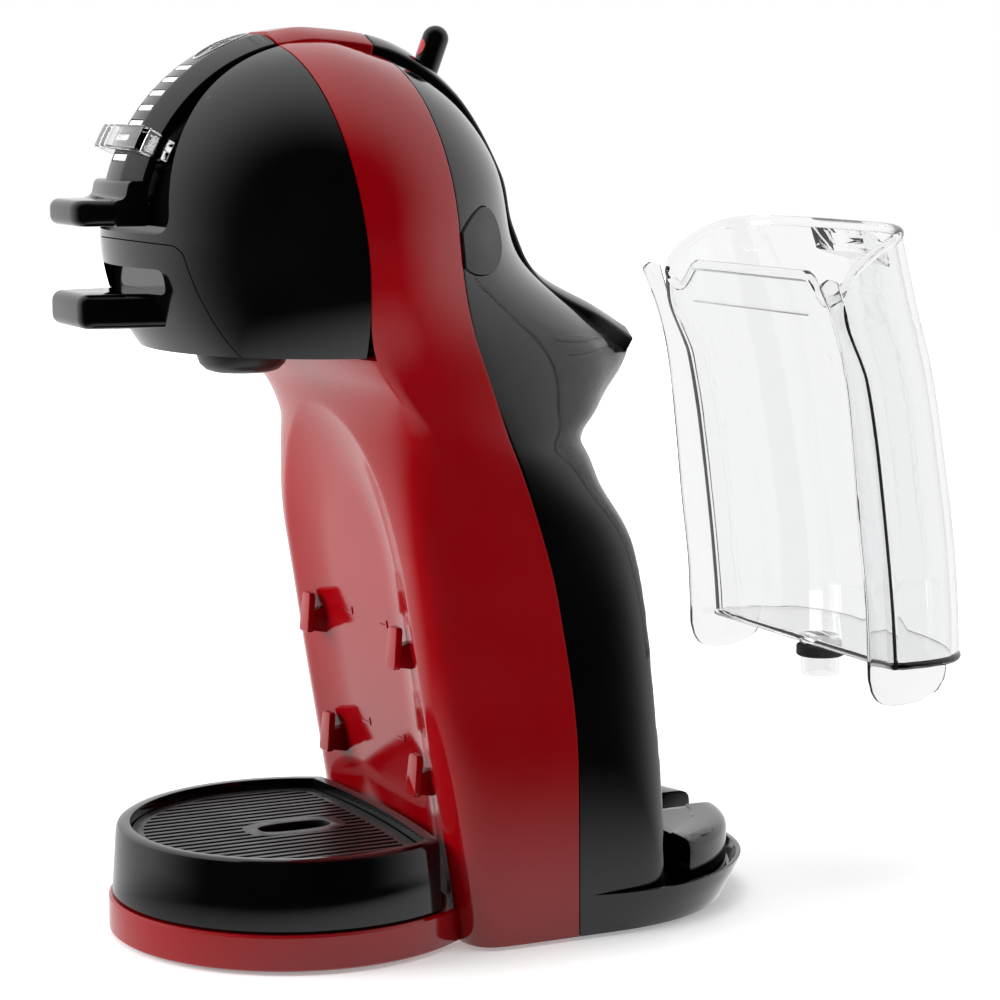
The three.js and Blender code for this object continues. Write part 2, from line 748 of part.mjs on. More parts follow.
// ---------- capsule drawer ----------
function capsuleDrawer() {
  const panel = cut(outerSkin, skin(3.2, 120))
    .intersect(prism("y", drawerOutline(0), -120, -14))
    .intersect(aboveBottom);
  const body = box(-30, 30, -54, DRAWER.split, 204, 231.6);
  const plan = new THREE.Shape();
  plan.moveTo(-25, DRAWER.split);
  plan.lineTo(-19, DRAWER.tipY + 12);
  plan.quadraticCurveTo(-17, DRAWER.tipY + 0.8, -9, DRAWER.tipY + 0.3);
  plan.quadraticCurveTo(0, DRAWER.tipY - 0.3, 9, DRAWER.tipY + 0.3);
  plan.quadraticCurveTo(17, DRAWER.tipY + 0.8, 19, DRAWER.tipY + 12);
  plan.lineTo(25, DRAWER.split);
  const handle = prism("z", plan, DRAWER.handleLow, DRAWER.handleHigh, 6);
  const grip = prism("y", roundedRectangle(-28, 28, DRAWER.handleHigh, 227.5, 2), -120, -51.5, 4);
  return joined(cut(joined(panel, body), grip), handle);
}

// The block behind the drawer's panel, which carries the capsule cup.
function capsuleTray() {
  const body = box(-30, 30, DRAWER.split + 0.3, 8, 204, 231.6).intersect(skin(3.5, 120));
  const cavity = rod("z", [0, NOZZLE.y, 0], 207, 240, 21.5, 23.5, 48);
  const socket = rod("z", [0, NOZZLE.y, 0], 190, 215, NOZZLE.radius + GAP, NOZZLE.radius + GAP, 40);
  return cut(body, cavity, socket);
}

// The cup that holds the capsule, hanging through the drawer's floor with its outlet below.
function capsuleCup() {
  const outside = turned(0, NOZZLE.y, [
    [0, NOZZLE.bottom],
    [NOZZLE.radius - 2, NOZZLE.bottom],
    [NOZZLE.radius - 0.6, NOZZLE.bottom + 1.4],
    [NOZZLE.radius, 207.5],
    [21, 207.5],
    [22.8, 229],
    [0, 229],
  ], 32);
  const inside = turned(0, NOZZLE.y, [
    [0, 199],
    [NOZZLE.radius - 2, 199],
    [NOZZLE.radius - 1.6, 209.5],
    [19.4, 209.5],
    [21, 231],
    [0, 231],
  ], 32);
  return cut(outside, inside, rod("z", [0, NOZZLE.y, 0], 180, 215, 2.4, 2.4, 16));
}

// ---------- tray ----------
function backEdge(radius, y, grow) {
  const s = new THREE.Shape();
  const half = Math.sqrt(radius * radius - y * y);
  const start = Math.atan2(y, half);
  s.absarc(0, 0, radius, Math.PI - start, 2 * Math.PI + start, false);
  s.quadraticCurveTo(0, y + grow, -half, y);
  return s;
}
function dripTray() {
  const { radius, rim, low, high, wall, back } = TRAY;
  const cup = rod("z", [0, 0, 0], low, high, radius, rim, 56);
  const outside = prism("z", backEdge(radius + 1, back, 7), low - 1, high + 1, 28);
  const inner = prism("z", backEdge(radius - wall - 2.4, back - wall - 1.4, 6), low + wall, high + 1, 28);
  const ledge = prism("z", backEdge(GRILLE.radius + 0.6, back - 3.2, 6.4), GRILLE.low - 0.3, high + 1, 28);
  const clearance = prism("z", backEdge(GRILLE.radius - 2, back - 6, 6), low + wall, high + 1, 28);
  return cut(cup.intersect(outside), inner.intersect(clearance), ledge);
}
const GRILLE_HOLE = { halfX: 6.5, halfY: 13, ring: 5 };
function dripGrille() {
  const { low, thick, slats, pitch, slot } = GRILLE;
  const plate = prism("z", backEdge(GRILLE.radius, TRAY.back - 3.8, 6.2), low, low + thick, 28);
  const field = prism("z", backEdge(GRILLE.radius - 4, TRAY.back - 8, 5), low - 1, low + thick + 1, 22);
  const slits = [];
  for (let i = 0; i < slats; i++) {
    const x = (i - (slats - 1) / 2) * pitch;
    slits.push(box(x - slot / 2, x + slot / 2, -70, 50, low - 1, low + thick + 1));
  }
  const oval = (grow, z0, z1) => {
    const s = new THREE.Shape();
    s.absellipse(0, 0, GRILLE_HOLE.halfX + grow, GRILLE_HOLE.halfY + grow, 0, 2 * Math.PI, false);
    return prism("z", s, z0, z1, 12);
  };
  const cuts = cut(joined(...slits).intersect(field), oval(GRILLE_HOLE.ring, low - 2, low + thick + 2));
  return cut(plate, cuts, oval(0, low - 2, low + thick + 2));
}

// ---------- water tank, built in its seated place ----------
const tankFront = through([
  [0, 126.4],
  [30, 124.8],
  [90, 118],
  [131, 110.8],
  [155, 101.4],
  [166, 100.8],
]);
const tankBack = through([
  [14, 166.5],
  [34, 168],
  [60, 166.5],
  [100, 160.5],
  [142, 152],
  [170, 143],
  [190, 136],
]);
// A D-shaped loop: straight sides from frontY to the front wall, round at the back.
function tankLoop(z, inset, frontY, steps = 20) {
  const middle = tankFront(z) + 6;
  const reach = tankBack(z) - middle - inset;
  const half = TANK.side - inset;
  const power = 2 / 3.1;
  const loop = [[half, frontY(z), z]];
  for (let i = 0; i <= steps; i++) {
    const a = (Math.PI * i) / steps;
    const x = half * signedPower(Math.cos(a), power);
    loop.push([x, middle + reach * signedPower(Math.sin(a), power), z]);
  }
  loop.push([-half, frontY(z), z]);
  return loop;
}
function tankBody(inset, frontY, low, high) {
  const levels = [34, 60, 95, 125, 142, 153, 164, 176].filter(
    (z) => z > low + 1 && z < high - 1,
  );
  const loops = [low, ...levels, high].map((z) => tankLoop(z, inset, frontY));
  return loft(loops, ([x, y]) => [x, y]);
}
function waterTank() {
  const { wall, low, floor, tube } = TANK;
  const outside = tankBody(0, tankFront, floor, 188);
  const inside = tankBody(wall, (z) => tankFront(z) + wall, floor + wall, 190);
  const wingOut = tankBody(0, (z) => wingSeat(z) + 0.6, low, 166);
  const wingIn = tankBody(wall, (z) => wingSeat(z) - 6, low - 1, 167);
  const wingShape = new THREE.Shape(
    [
      ...Array.from({ length: 12 }, (_, k) => [wingSeat(24 + 13 * k) + 0.6, 24 + 13 * k]),
      [100, 168],
      [tankFront(150) + 3, 150],
      [tankFront(100) + 3, 100],
      [tankFront(31) + 6, 31],
      [147, 31],
      [144, low + 6],
      [136, low + 1],
      [124, low],
      [wingSeat(20) + 7, low],
    ].map(([y, z]) => new THREE.Vector2(y, z)),
  );
  const wings = cut(wingOut, wingIn).intersect(prism("x", wingShape, -90, 90));
  const rim = new THREE.SplineCurve(
    [
      [80, 160],
      [100, 166],
      [118, 177],
      [137, 182.6],
      [160, 184],
    ].map(([y, z]) => new THREE.Vector2(y, z)),
  ).getPoints(16);
  const above = outline([...rim.map((p) => [p.x, p.y]), [160, 230], [80, 230]]);
  const tab = outline([
    [137, 183],
    [154, 175.5],
    [157, 170.5],
    [154.5, 169.5],
    [141, 174],
  ]);
  const pipe = rod("z", [0, DOCK.wellY, 0], low, floor + 1, tube, tube, 32);
  const bore = rod("z", [0, DOCK.wellY, 0], low - 1, floor + 6, tube - 1.7, tube - 1.7, 32);
  const vessel = cut(joined(outside, prism("x", tab, -15, 15), pipe), inside, bore);
  return joined(cut(vessel, prism("x", above, -90, 90)), wings);
}

// ---------- dock ----------
function tankDock() {
  const crescent = box(-80, 80, 118.5, 200, 0, 60);
  const puck = turned(0, REAR.y + 4.5, [
    [0, REAR.floor + GAP],
    [DOCK.radius - 0.6, REAR.floor + GAP],
    [DOCK.radius - 0.6, DOCK.top - 3],
    [DOCK.radius - 1.5, DOCK.top - 0.8],
    [DOCK.radius - 4, DOCK.top],
    [0, DOCK.top],
  ], REAR.sides);
  const shape = cut(puck.intersect(crescent), skin(-0.6, 0));
  const well = rod("z", [0, DOCK.wellY, 0], DOCK.wellFloor, 40, DOCK.well, DOCK.well, 40);
  const channel = box(-DOCK.well, DOCK.well, DOCK.wellY, 190, DOCK.wellFloor, 40);
  return cut(shape, well, channel, inletHole);
}

// ---------- selector stick and power button ----------
function hotColdStick() {
  const { y, z, radius, length, lean } = STICK;
  const bar = new THREE.CapsuleGeometry(radius, length, 5, 20);
  bar.translate(0, length / 2, 0).rotateX(Math.PI / 2 - THREE.MathUtils.degToRad(lean));
  const hub = rod("y", [0, 0, z], y - 3.1, y + 4, 7.5, 7.5, 28);
  return joined(solid(bar.translate(0, y, z)), hub);
}

function powerButton() {
  const cap = cut(skin(-0.8, 150), skin(3, 150))
    .intersect(buttonBar(0, -9, 20))
    .intersect(besideSeam(rearSeam, 1, 1.2));
  const stem = new THREE.CylinderGeometry(2.4, 2.4, 6, 16).rotateZ(Math.PI / 2);
  return cap.add(atButton(stem.translate(-4.4, 0, 0)));
}

const powerSwitch = () => atButton(new THREE.BoxGeometry(7, 9, 9).translate(-13.4, 0, 0));

function buttonSpring() {
  const ring = new THREE.LatheGeometry(
    [
      [2.9, -9.5],
      [4, -9.5],
      [4, -7.4],
      [2.9, -7.4],
      [2.9, -9.5],
    ].map(([r, x]) => new THREE.Vector2(r, x)),
    20,
  );
  return atButton(ring.rotateZ(-Math.PI / 2));
}

// ---------- underside ----------
const PLATE_TOP = 3.4;
const FEET = [
  [42, -28],
  [-42, -28],
  [40, 126],
  [-40, 126],
];
const SCREW_SPOTS = [SCREWS.front, SCREWS.rear].flatMap(([x, y]) => [
  [x, y],
  [-x, y],
]);
function basePlate() {
  const slab = box(-120, 120, -120, 220, BASE.low, PLATE_TOP);
  const disc = rod("z", [0, 0, 0], 0, 6, BASE.radius - WALL - GAP, BASE.radius - WALL - GAP, 56);
  const rear = rearBase(0, 7, WALL + 0.3 + GAP).intersect(box(-120, 120, REAR.y + 3.4, 220, 0, 9));
  const plate = joined(skin(WALL + GAP, -1), disc, rear).intersect(slab);
  const holes = SCREW_SPOTS.flatMap(([x, y]) => [
    rod("z", [x, y, 0], 0, 2.7, 3.3, 3.3, 12),
    rod("z", [x, y, 0], 0, 6, 1.7, 1.7, 12),
  ]);
  const pegs = FEET.map(([x, y]) => rod("z", [x, y, 0], 0, 6, 2.3, 2.3, 12));
  return cut(plate, ...holes, ...pegs);
}
const foot = ([x, y]) =>
  turned(x, y, [
    [0, 0],
    [6.6, 0],
    [7, 0.4],
    [7, 1],
    [2, 1],
    [2, 3],
    [0, 3],
  ], 18);
const baseScrew = ([x, y]) =>
  turned(x, y, [
    [0, 1.5],
    [3, 1.5],
    [3, 2.4],
    [1.4, 2.4],
    [1.4, 8],
    [0, 8],
  ], 12);

// ---------- works inside ----------
const PUMP = { y: 75, radius: 14, low: 40, high: 140 };
const HEATER = { x: 24, y0: 24, y1: 45, z0: 203, z1: 240 };

function chassis() {
  const plate = box(-46, 46, 46, 49, 4, 199);
  const shelf = box(-40, 40, 18, 47, 196, 199);
  const bracket = box(-24, 24, 46, 54, 199, 201).add(box(-24, 24, 46, 49, 196, 232));
  const foot = box(-46, 46, 42, 49, 4, 7);
  return joined(plate, shelf, bracket, foot);
}

function pumpBody() {
  const barrel = rod("z", [0, PUMP.y, 0], PUMP.low, PUMP.high, PUMP.radius, PUMP.radius, 36);
  const necks = rod("z", [0, PUMP.y, 0], PUMP.low - 8, PUMP.high + 8, 5, 5, 20);
  return joined(barrel, necks);
}
function pumpCoil() {
  const block = prism("z", roundedRectangle(-18, 18, PUMP.y - 18, PUMP.y + 18, 4), 66, 112, 4);
  return cut(block, rod("z", [0, PUMP.y, 0], 60, 120, PUMP.radius + GAP, PUMP.radius + GAP, 36));
}
function pumpMount(z) {
  const arm = box(-6, 6, 49.4, PUMP.y, z, z + 8);
  const collar = rod("z", [0, PUMP.y, 0], z, z + 8, 18, 18, 32);
  const hole = rod("z", [0, PUMP.y, 0], z - 1, z + 9, PUMP.radius + GAP, PUMP.radius + GAP, 32);
  return cut(joined(arm, collar), hole);
}
function heaterBlock() {
  const { x, y0, y1, z0, z1 } = HEATER;
  const block = prism("z", roundedRectangle(-x, x, y0, y1, 4), z0, z1, 4);
  return joined(block, rod("z", [0, 35, 0], z1 - 1, z1 + 6, 3.4, 3.4, 16));
}
function selectorValve() {
  const drum = rod("z", [0, STICK.y - 2, 0], 261, 274.8, 9, 9, 32);
  const side = rod("x", [0, STICK.y - 2, 268], -15, 15, 3, 3, 16);
  return joined(drum, side);
}
function injector() {
  const { y } = NOZZLE;
  const head = turned(0, y, [
    [0, 233.6],
    [0.8, 235.4],
    [1.2, 237],
    [17, 237],
    [18, 238],
    [18, 240.6],
    [5, 240.6],
    [5, 258],
    [0, 258],
  ], 24);
  return head;
}
function injectorGuide() {
  const block = box(-14, 14, NOZZLE.y - 14, 22, 250, 258);
  const leg = box(-14, 14, 18, 22, 203.7, 252);
  const bore = rod("z", [0, NOZZLE.y, 0], 240, 270, 5.4, 5.4, 24);
  return cut(joined(block, leg), bore);
}
function dockSeal() {
  const { wellY } = DOCK;
  const { wellFloor } = DOCK;
  const ring = rod("z", [0, wellY, 0], wellFloor + GAP, 15.2, 8, 7.6, 32);
  return cut(ring, rod("z", [0, wellY, 0], 10, 20, 4, 4, 24));
}
function dockValve() {
  const stem = rod("z", [0, DOCK.wellY, 0], 4.2, 15, INLET.radius, INLET.radius, 24);
  return cut(stem, rod("z", [0, DOCK.wellY, 0], 7, 20, INLET.bore, INLET.bore, 16));
}
function tankSeal() {
  const outer = rod("z", [0, DOCK.wellY, 0], 22.6, 26.6, TANK.tube + 1.8, TANK.tube + 1.8, 32);
  return cut(outer, rod("z", [0, DOCK.wellY, 0], 20, 30, TANK.tube + 0.3, TANK.tube + 0.3, 32));
}
function cordGland() {
  const body = rod("y", [GLAND.x, 0, GLAND.z], 149, 159, 1.9, GLAND.radius, 20);
  return cut(body, rod("y", [GLAND.x, 0, GLAND.z], 148, 160, 1.2, 1.2, 16));
}

// A rubber hose in the machine's middle plane, through [y, z] points.
const hose = (...points) => tubeAlong(points.map(([y, z]) => [0, y, z]), 1.8);

// ---------- assembly ----------
const tank = new THREE.Group();
tank.position.set(0, TANK.offY, TANK.offZ);
machine.add(tank);

add("front_shell", "red", frontShell());
add("ridge_cover", "red", ridgeCover());
add("rear_shell", "black", rearShell());
add("spine_cover", "black", spineCover());
add("head_casing", "black", headCasing());
add("head_underside", "black", headUnderside());
add("locking_lever", "black", lockingLever());
add("lever_pin", "steel", hingeBar(HINGE.pin, HINGE.pinHalf));
for (let i = 0; i < LIGHTS.count; i++) add(`light_bar_${i + 1}`, "light", lightBar(i, 0));
add("badge_plate", "satin", badgePlate(0));
add("volume_slider", "clear", volumeSlider());
add("capsule_drawer", "black", capsuleDrawer());
add("capsule_tray", "black", capsuleTray());
add("capsule_cup", "black", capsuleCup());
add("hot_cold_stick", "black", hotColdStick());
add("power_button", "satin", powerButton());
add("drip_tray", "black", dripTray());
add("drip_grille", "satin", dripGrille());
add("tank_dock", "satin", tankDock());
add("dock_seal", "rubber", dockSeal());
add("dock_valve", "inner", dockValve());
add("water_tank", "clear", waterTank(), tank);
add("tank_seal", "rubber", tankSeal(), tank);
add("base_plate", "inner", basePlate());
FEET.forEach((spot, i) => add(`foot_${i + 1}`, "rubber", foot(spot)));
SCREW_SPOTS.forEach((spot, i) => add(`base_screw_${i + 1}`, "steel", baseScrew(spot)));
add("cord_gland", "rubber", cordGland());
add("chassis", "inner", chassis());
add("pump_body", "steel", pumpBody());
add("pump_coil", "copper", pumpCoil());
add("pump_mount_lower", "rubber", pumpMount(52));
add("pump_mount_upper", "rubber", pumpMount(120));
add("heater_block", "steel", heaterBlock());
add("selector_valve", "inner", selectorValve());
add("injector", "steel", injector());
add("injector_guide", "inner", injectorGuide());
add("power_switch", "inner", powerSwitch());
add("button_spring", "steel", buttonSpring());
add("control_board", "board", box(-30, 30, 49.5, 51.1, 150, 188));
add("inlet_hose", "rubber", hose([130, 5.8], [116, 5.9], [100, 9], [82, 18], [PUMP.y, 30.6]));
add("pressure_hose", "rubber", hose([PUMP.y, 148.4], [74, 170], [68, 195], [60, 225], [49.6, 235]));
add("outlet_hose", "rubber", hose([35, 246.4], [36, 252], [42, 256], [45, 259.8]));

export default machine;
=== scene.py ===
"""Looks of the capsule espresso machine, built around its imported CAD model.

Lengths in this file are millimetres in the machine's own workshop frame, whose zero is the
middle of the drip tray on the worktop. put() turns them into metres in the row's frame.
"""
import json
from math import asin, atan2, copysign, cos, degrees, hypot, pi, radians, sin, sqrt

import bmesh
import bpy
import numpy as np
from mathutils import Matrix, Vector


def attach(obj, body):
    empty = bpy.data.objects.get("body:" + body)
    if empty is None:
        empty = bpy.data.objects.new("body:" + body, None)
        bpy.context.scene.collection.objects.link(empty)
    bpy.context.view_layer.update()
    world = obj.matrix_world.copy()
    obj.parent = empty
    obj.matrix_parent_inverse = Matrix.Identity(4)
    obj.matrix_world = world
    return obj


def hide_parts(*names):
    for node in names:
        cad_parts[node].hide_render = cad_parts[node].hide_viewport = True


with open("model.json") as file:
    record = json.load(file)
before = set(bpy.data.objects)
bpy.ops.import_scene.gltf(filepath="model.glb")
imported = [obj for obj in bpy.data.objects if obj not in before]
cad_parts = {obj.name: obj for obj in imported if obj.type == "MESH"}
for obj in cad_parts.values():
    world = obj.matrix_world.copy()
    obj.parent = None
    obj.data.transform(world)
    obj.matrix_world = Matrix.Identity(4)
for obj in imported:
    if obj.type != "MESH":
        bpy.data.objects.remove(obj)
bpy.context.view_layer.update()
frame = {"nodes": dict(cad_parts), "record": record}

FRAME_Y = 83.2  # the row frame's origin in workshop Y


def put(points):
    """Workshop millimetres to row-frame metres."""
    p = np.asarray(points, float).reshape(-1, 3)
    return (p - np.array([0.0, FRAME_Y, 0.0])) / 1000.0


# ---- materials
def shader(name, colour, roughness, metallic=0.0):
    """A Principled material; returns it with its shader node and its tree."""
    material = bpy.data.materials.new(name)
    material.use_nodes = True
    tree = material.node_tree
    bsdf = tree.nodes["Principled BSDF"]
    bsdf.inputs["Base Color"].default_value = (*colour, 1.0)
    bsdf.inputs["Roughness"].default_value = roughness
    bsdf.inputs["Metallic"].default_value = metallic
    return material, bsdf, tree


def node(tree, kind, values={}, links={}, **settings):
    """A new shader node with its settings, the values of its inputs and what is linked to them."""
    made = tree.nodes.new("ShaderNode" + kind)
    for setting, value in settings.items():
        setattr(made, setting, value)
    for socket, value in values.items():
        made.inputs[socket].default_value = value
    for socket, source in links.items():
        tree.links.new(source, made.inputs[socket])
    return made


def noise(tree, scale, detail=3.0):
    """A noise texture in object space, with its size in 1/metres."""
    where = node(tree, "TexCoord").outputs["Object"]
    return node(tree, "TexNoise", {"Scale": scale, "Detail": detail}, {"Vector": where}).outputs["Fac"]


def vary(tree, texture, low, high, socket):
    """Drives a socket between two numbers by a texture."""
    values = {"From Min": 0.3, "From Max": 0.7, "To Min": low, "To Max": high}
    tree.links.new(node(tree, "MapRange", values, {"Value": texture}).outputs["Result"], socket)


def tint(tree, texture, dark, light, socket, places=(0.35, 0.65)):
    """Drives a colour between two tints by a texture."""
    ramp = node(tree, "ValToRGB", {}, {"Fac": texture})
    for stop, place, colour in zip(ramp.color_ramp.elements, places, (dark, light)):
        stop.position = place
        stop.color = (*colour, 1.0)
    tree.links.new(ramp.outputs["Color"], socket)


def bumps(tree, bsdf, texture, strength, distance=0.0002):
    """A fine relief on the surface."""
    bump = node(tree, "Bump", {"Strength": strength, "Distance": distance}, {"Height": texture})
    tree.links.new(bump.outputs["Normal"], bsdf.inputs["Normal"])


def moulded(name, dark, light, rough, coat, grain, relief):
    """Moulded plastic: slightly uneven colour and gloss, and a fine mould texture."""
    material, bsdf, tree = shader(name, dark, rough[0])
    tint(tree, noise(tree, 35.0), dark, light, bsdf.inputs["Base Color"])
    vary(tree, noise(tree, 60.0, 5.0), rough[0], rough[1], bsdf.inputs["Roughness"])
    bsdf.inputs["Coat Weight"].default_value = coat
    bsdf.inputs["Coat Roughness"].default_value = 0.04
    bumps(tree, bsdf, noise(tree, grain, 4.0), relief)
    return material


def metal(name, dark, light, rough, grain):
    """Brushed or cast metal."""
    material, bsdf, tree = shader(name, dark, rough[0], 1.0)
    tint(tree, noise(tree, 90.0), dark, light, bsdf.inputs["Base Color"])
    vary(tree, noise(tree, grain, 6.0), rough[0], rough[1], bsdf.inputs["Roughness"])
    bumps(tree, bsdf, noise(tree, grain, 5.0), 0.15)
    return material


def clear(name, tone, edge):
    """Clear moulded plastic with faint waviness; its colour is darkened where its wall is seen edge on, a
    painted shade for the dark edges of clear plastic.
    """
    material, bsdf, tree = shader(name, tone, 0.0)
    bsdf.inputs["Transmission Weight"].default_value = 1.0
    bsdf.inputs["IOR"].default_value = 1.46
    # painted shade: the colour goes towards the dark edge tint where the wall is seen edge on
    edge_on_shade_mask = node(tree, "LayerWeight", {"Blend": 0.5}).outputs["Facing"]
    tint(tree, edge_on_shade_mask, tone, edge, bsdf.inputs["Base Color"], (0.72, 0.98))
    vary(tree, noise(tree, 25.0), 0.0, 0.02, bsdf.inputs["Roughness"])
    bumps(tree, bsdf, noise(tree, 40.0, 2.0), 0.015, 0.0004)
    return material


PLASTICS = {  # name, darker and lighter tint, roughness range, coat, grain in 1/m, relief
    "red_shell": ("red_gloss", (0.235, 0.0006, 0.0028), (0.25, 0.0008, 0.0034), (0.09, 0.13), 0, 900, 0.008),
    "gloss_black": ("piano_black", (0.0012, 0.0012, 0.0014), (0.002, 0.002, 0.0022), (0.06, 0.1), 0, 700, 0.006),
    "satin_black": ("satin_black", (0.012, 0.012, 0.013), (0.018, 0.018, 0.019), (0.3, 0.42), 0, 2600, 0.12),
    "button_grey": ("button_grey", (0.028, 0.028, 0.030), (0.036, 0.036, 0.038), (0.5, 0.62), 0, 3200, 0.25),
    "badge": ("badge_dark", (0.012, 0.012, 0.013), (0.018, 0.018, 0.019), (0.18, 0.25), 0.3, 1500, 0.03),
    "light": ("light_guide", (0.78, 0.79, 0.8), (0.86, 0.87, 0.88), (0.3, 0.4), 0.2, 1200, 0.05),
    "rubber": ("rubber_black", (0.012, 0.012, 0.012), (0.02, 0.02, 0.02), (0.7, 0.9), 0, 3000, 0.4),
    "board": ("board_green", (0.01, 0.075, 0.03), (0.02, 0.11, 0.045), (0.4, 0.55), 0.2, 1500, 0.2),
    "inner_plastic": ("inner_plastic", (0.045, 0.045, 0.05), (0.065, 0.065, 0.07), (0.45, 0.6), 0, 1800, 0.2),
}
METALS = {  # name, darker and lighter tint, roughness range, grain in 1/m
    "steel": ("steel_brushed", (0.55, 0.55, 0.57), (0.66, 0.66, 0.68), (0.22, 0.38), 1800),
    "aluminium": ("aluminium_cast", (0.68, 0.68, 0.7), (0.78, 0.78, 0.79), (0.38, 0.55), 1400),
    "copper": ("copper_coil", (0.55, 0.24, 0.1), (0.72, 0.34, 0.16), (0.25, 0.4), 1600),
}
# the material of each slot
M = {slot: moulded(*values) for slot, values in PLASTICS.items()}
M |= {slot: metal(*values) for slot, values in METALS.items()}
# the second tint is the painted shade of the clear walls seen edge on
M["clear_plastic"] = clear("clear_plastic", (0.942, 0.945, 0.948), (0.25, 0.25, 0.25))
RED_MARK = moulded("mark_red", (0.5, 0.012, 0.015), (0.56, 0.02, 0.02), (0.3, 0.4), 0.2, 1500, 0.05)
BLUE_MARK = moulded("mark_blue", (0.02, 0.06, 0.32), (0.03, 0.08, 0.38), (0.3, 0.4), 0.2, 1500, 0.05)
PALE_MARK = moulded("mark_pale", (0.42, 0.43, 0.44), (0.5, 0.5, 0.52), (0.35, 0.45), 0, 1500, 0.1)


# ---- mesh helpers
def in_scene(name, data):
    """A new object of the scene with this data."""
    obj = bpy.data.objects.new(name, data)
    bpy.context.scene.collection.objects.link(obj)
    return obj


def new_object(name, points, faces):
    """A mesh object from workshop millimetres."""
    mesh = bpy.data.meshes.new(name)
    mesh.from_pydata([tuple(p) for p in put(points)], [], [tuple(map(int, f)) for f in faces])
    mesh.update()
    return in_scene(name, mesh)


def modified(obj, kind, **settings):
    """Adds a modifier to obj and applies it to its mesh."""
    modifier = obj.modifiers.new(kind.lower(), kind)
    for setting, value in settings.items():
        setattr(modifier, setting, value)
    graph = bpy.context.evaluated_depsgraph_get()
    mesh = bpy.data.meshes.new_from_object(obj.evaluated_get(graph))
    old = obj.data
    obj.modifiers.clear()
    obj.data = mesh
    bpy.data.meshes.remove(old)
    return obj


def combine(obj, other, operation):
    """A boolean of two closed meshes; the second one is used up."""
    modified(obj, "BOOLEAN", operation=operation, solver="MANIFOLD", object=other)
    mesh = other.data
    bpy.data.objects.remove(other)
    bpy.data.meshes.remove(mesh)
    return obj


def cut(obj, *tools):
    """Takes each tool out of obj."""
    for tool in tools:
        combine(obj, tool, "DIFFERENCE")
    return obj


def join(obj, *others):
    """Adds each of the others to obj."""
    for other in others:
        combine(obj, other, "UNION")
    return obj


def keep(obj, *tools):
    """Keeps only what obj shares with each tool."""
    for tool in tools:
        combine(obj, tool, "INTERSECT")
    return obj


def soften(obj, width, segments=2, angle=35.0):
    """Rounds the sharp edges, width in millimetres."""
    limit = {"limit_method": "ANGLE", "angle_limit": radians(angle)}
    return modified(obj, "BEVEL", width=width / 1000, segments=segments, **limit)


def thicken(obj, depth):
    """Gives an open surface a wall on its inner side."""
    return modified(obj, "SOLIDIFY", thickness=depth / 1000, offset=-1, use_even_offset=False)


def face_outwards(obj, inside=None):
    """Turns every face outwards; those of an open surface turn away from a point inside it."""
    bm = bmesh.new()
    bm.from_mesh(obj.data)
    bmesh.ops.recalc_face_normals(bm, faces=bm.faces)
    if inside is None:
        outward = bm.calc_volume(signed=True)
    else:
        outward = sum((f.calc_center_median() - inside).dot(f.normal) * f.calc_area() for f in bm.faces)
    if outward < 0:
        bmesh.ops.reverse_faces(bm, faces=bm.faces)
    bm.to_mesh(obj.data)
    bm.free()
    return obj


def finish_piece(obj, body, slot, *replaces, angle=32.0, material=None):
    """Shades, colours and mounts one finished piece."""
    obj.data.materials.clear()
    obj.data.materials.append(material or M[slot])
    obj.data.shade_smooth()
    obj.data.set_sharp_from_angle(angle=radians(angle))
    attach(obj, body)
    if replaces:
        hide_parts(*replaces)
    return obj


def grid_faces(rows, columns, wrap=False, offset=0):
    """The quads between neighbouring rows of points."""
    faces = []
    last = columns if wrap else columns - 1
    for i in range(rows - 1):
        for j in range(last):
            k = (j + 1) % columns
            a, b = offset + i * columns + j, offset + i * columns + k
            faces.append((a, b, b + columns, a + columns))
    return faces


def loft(name, loops):
    """Closed loops with the same count, joined by quads, with flat ends."""
    loops = np.asarray(loops, float)
    rows, columns = loops.shape[:2]
    faces = grid_faces(rows, columns, wrap=True)
    faces.append(tuple(range(columns))[::-1])
    faces.append(tuple((rows - 1) * columns + k for k in range(columns)))
    return face_outwards(new_object(name, loops.reshape(-1, 3), faces))


COLUMNS = {"x": [2, 0, 1], "y": [0, 2, 1], "z": [0, 1, 2]}  # X, Y, Z out of an outline and its level


def stack(name, outlines, heights, axis="z"):
    """A loft through flat outlines, each at its own level along an axis."""
    loops = [np.column_stack([flat, np.full(len(flat), level)]) for flat, level in zip(outlines, heights)]
    return loft(name, np.array(loops)[:, :, COLUMNS[axis]])


def prism(name, axis, outline, low, high):
    """An outline extruded along X (given in Y, Z), Y (in X, Z) or Z (in X, Y)."""
    return stack(name, [outline, outline], (low, high), axis)


def cushion(name, outline, low, high, radius):
    """An upright extrusion of a convex outline with rounded upper and lower edges."""
    flat = np.asarray(outline, float)
    along = np.roll(flat, -1, axis=0) - np.roll(flat, 1, axis=0)
    outward = np.stack([along[:, 1], -along[:, 0]], 1)
    outward /= np.linalg.norm(outward, axis=1)[:, None]
    turn = np.linspace(0, pi / 2, 6)
    edges = [(low + radius * (1 - sin(a)), radius * (1 - cos(a))) for a in turn[::-1]]
    edges += [(high - radius * (1 - sin(a)), radius * (1 - cos(a))) for a in turn]
    sign = 1.0 if np.sum((flat - flat.mean(axis=0)) * outward) > 0 else -1.0
    return stack(name, [flat - sign * outward * inset for _, inset in edges], [z for z, _ in edges])


def block(name, x0, x1, y0, y1, z0, z1):
    """A box, as a tool for the booleans."""
    return prism(name, "z", [(x0, y0), (x1, y0), (x1, y1), (x0, y1)], z0, z1)


def circle(cx, cy, radius, count, start=0.0, sweep=360.0):
    """Points on a circle or an arc, with the angles in degrees."""
    whole = abs(sweep) >= 360.0
    angles = np.radians(start + np.linspace(0, sweep, count, endpoint=not whole))
    return np.stack([cx + radius * np.cos(angles), cy + radius * np.sin(angles)], 1)


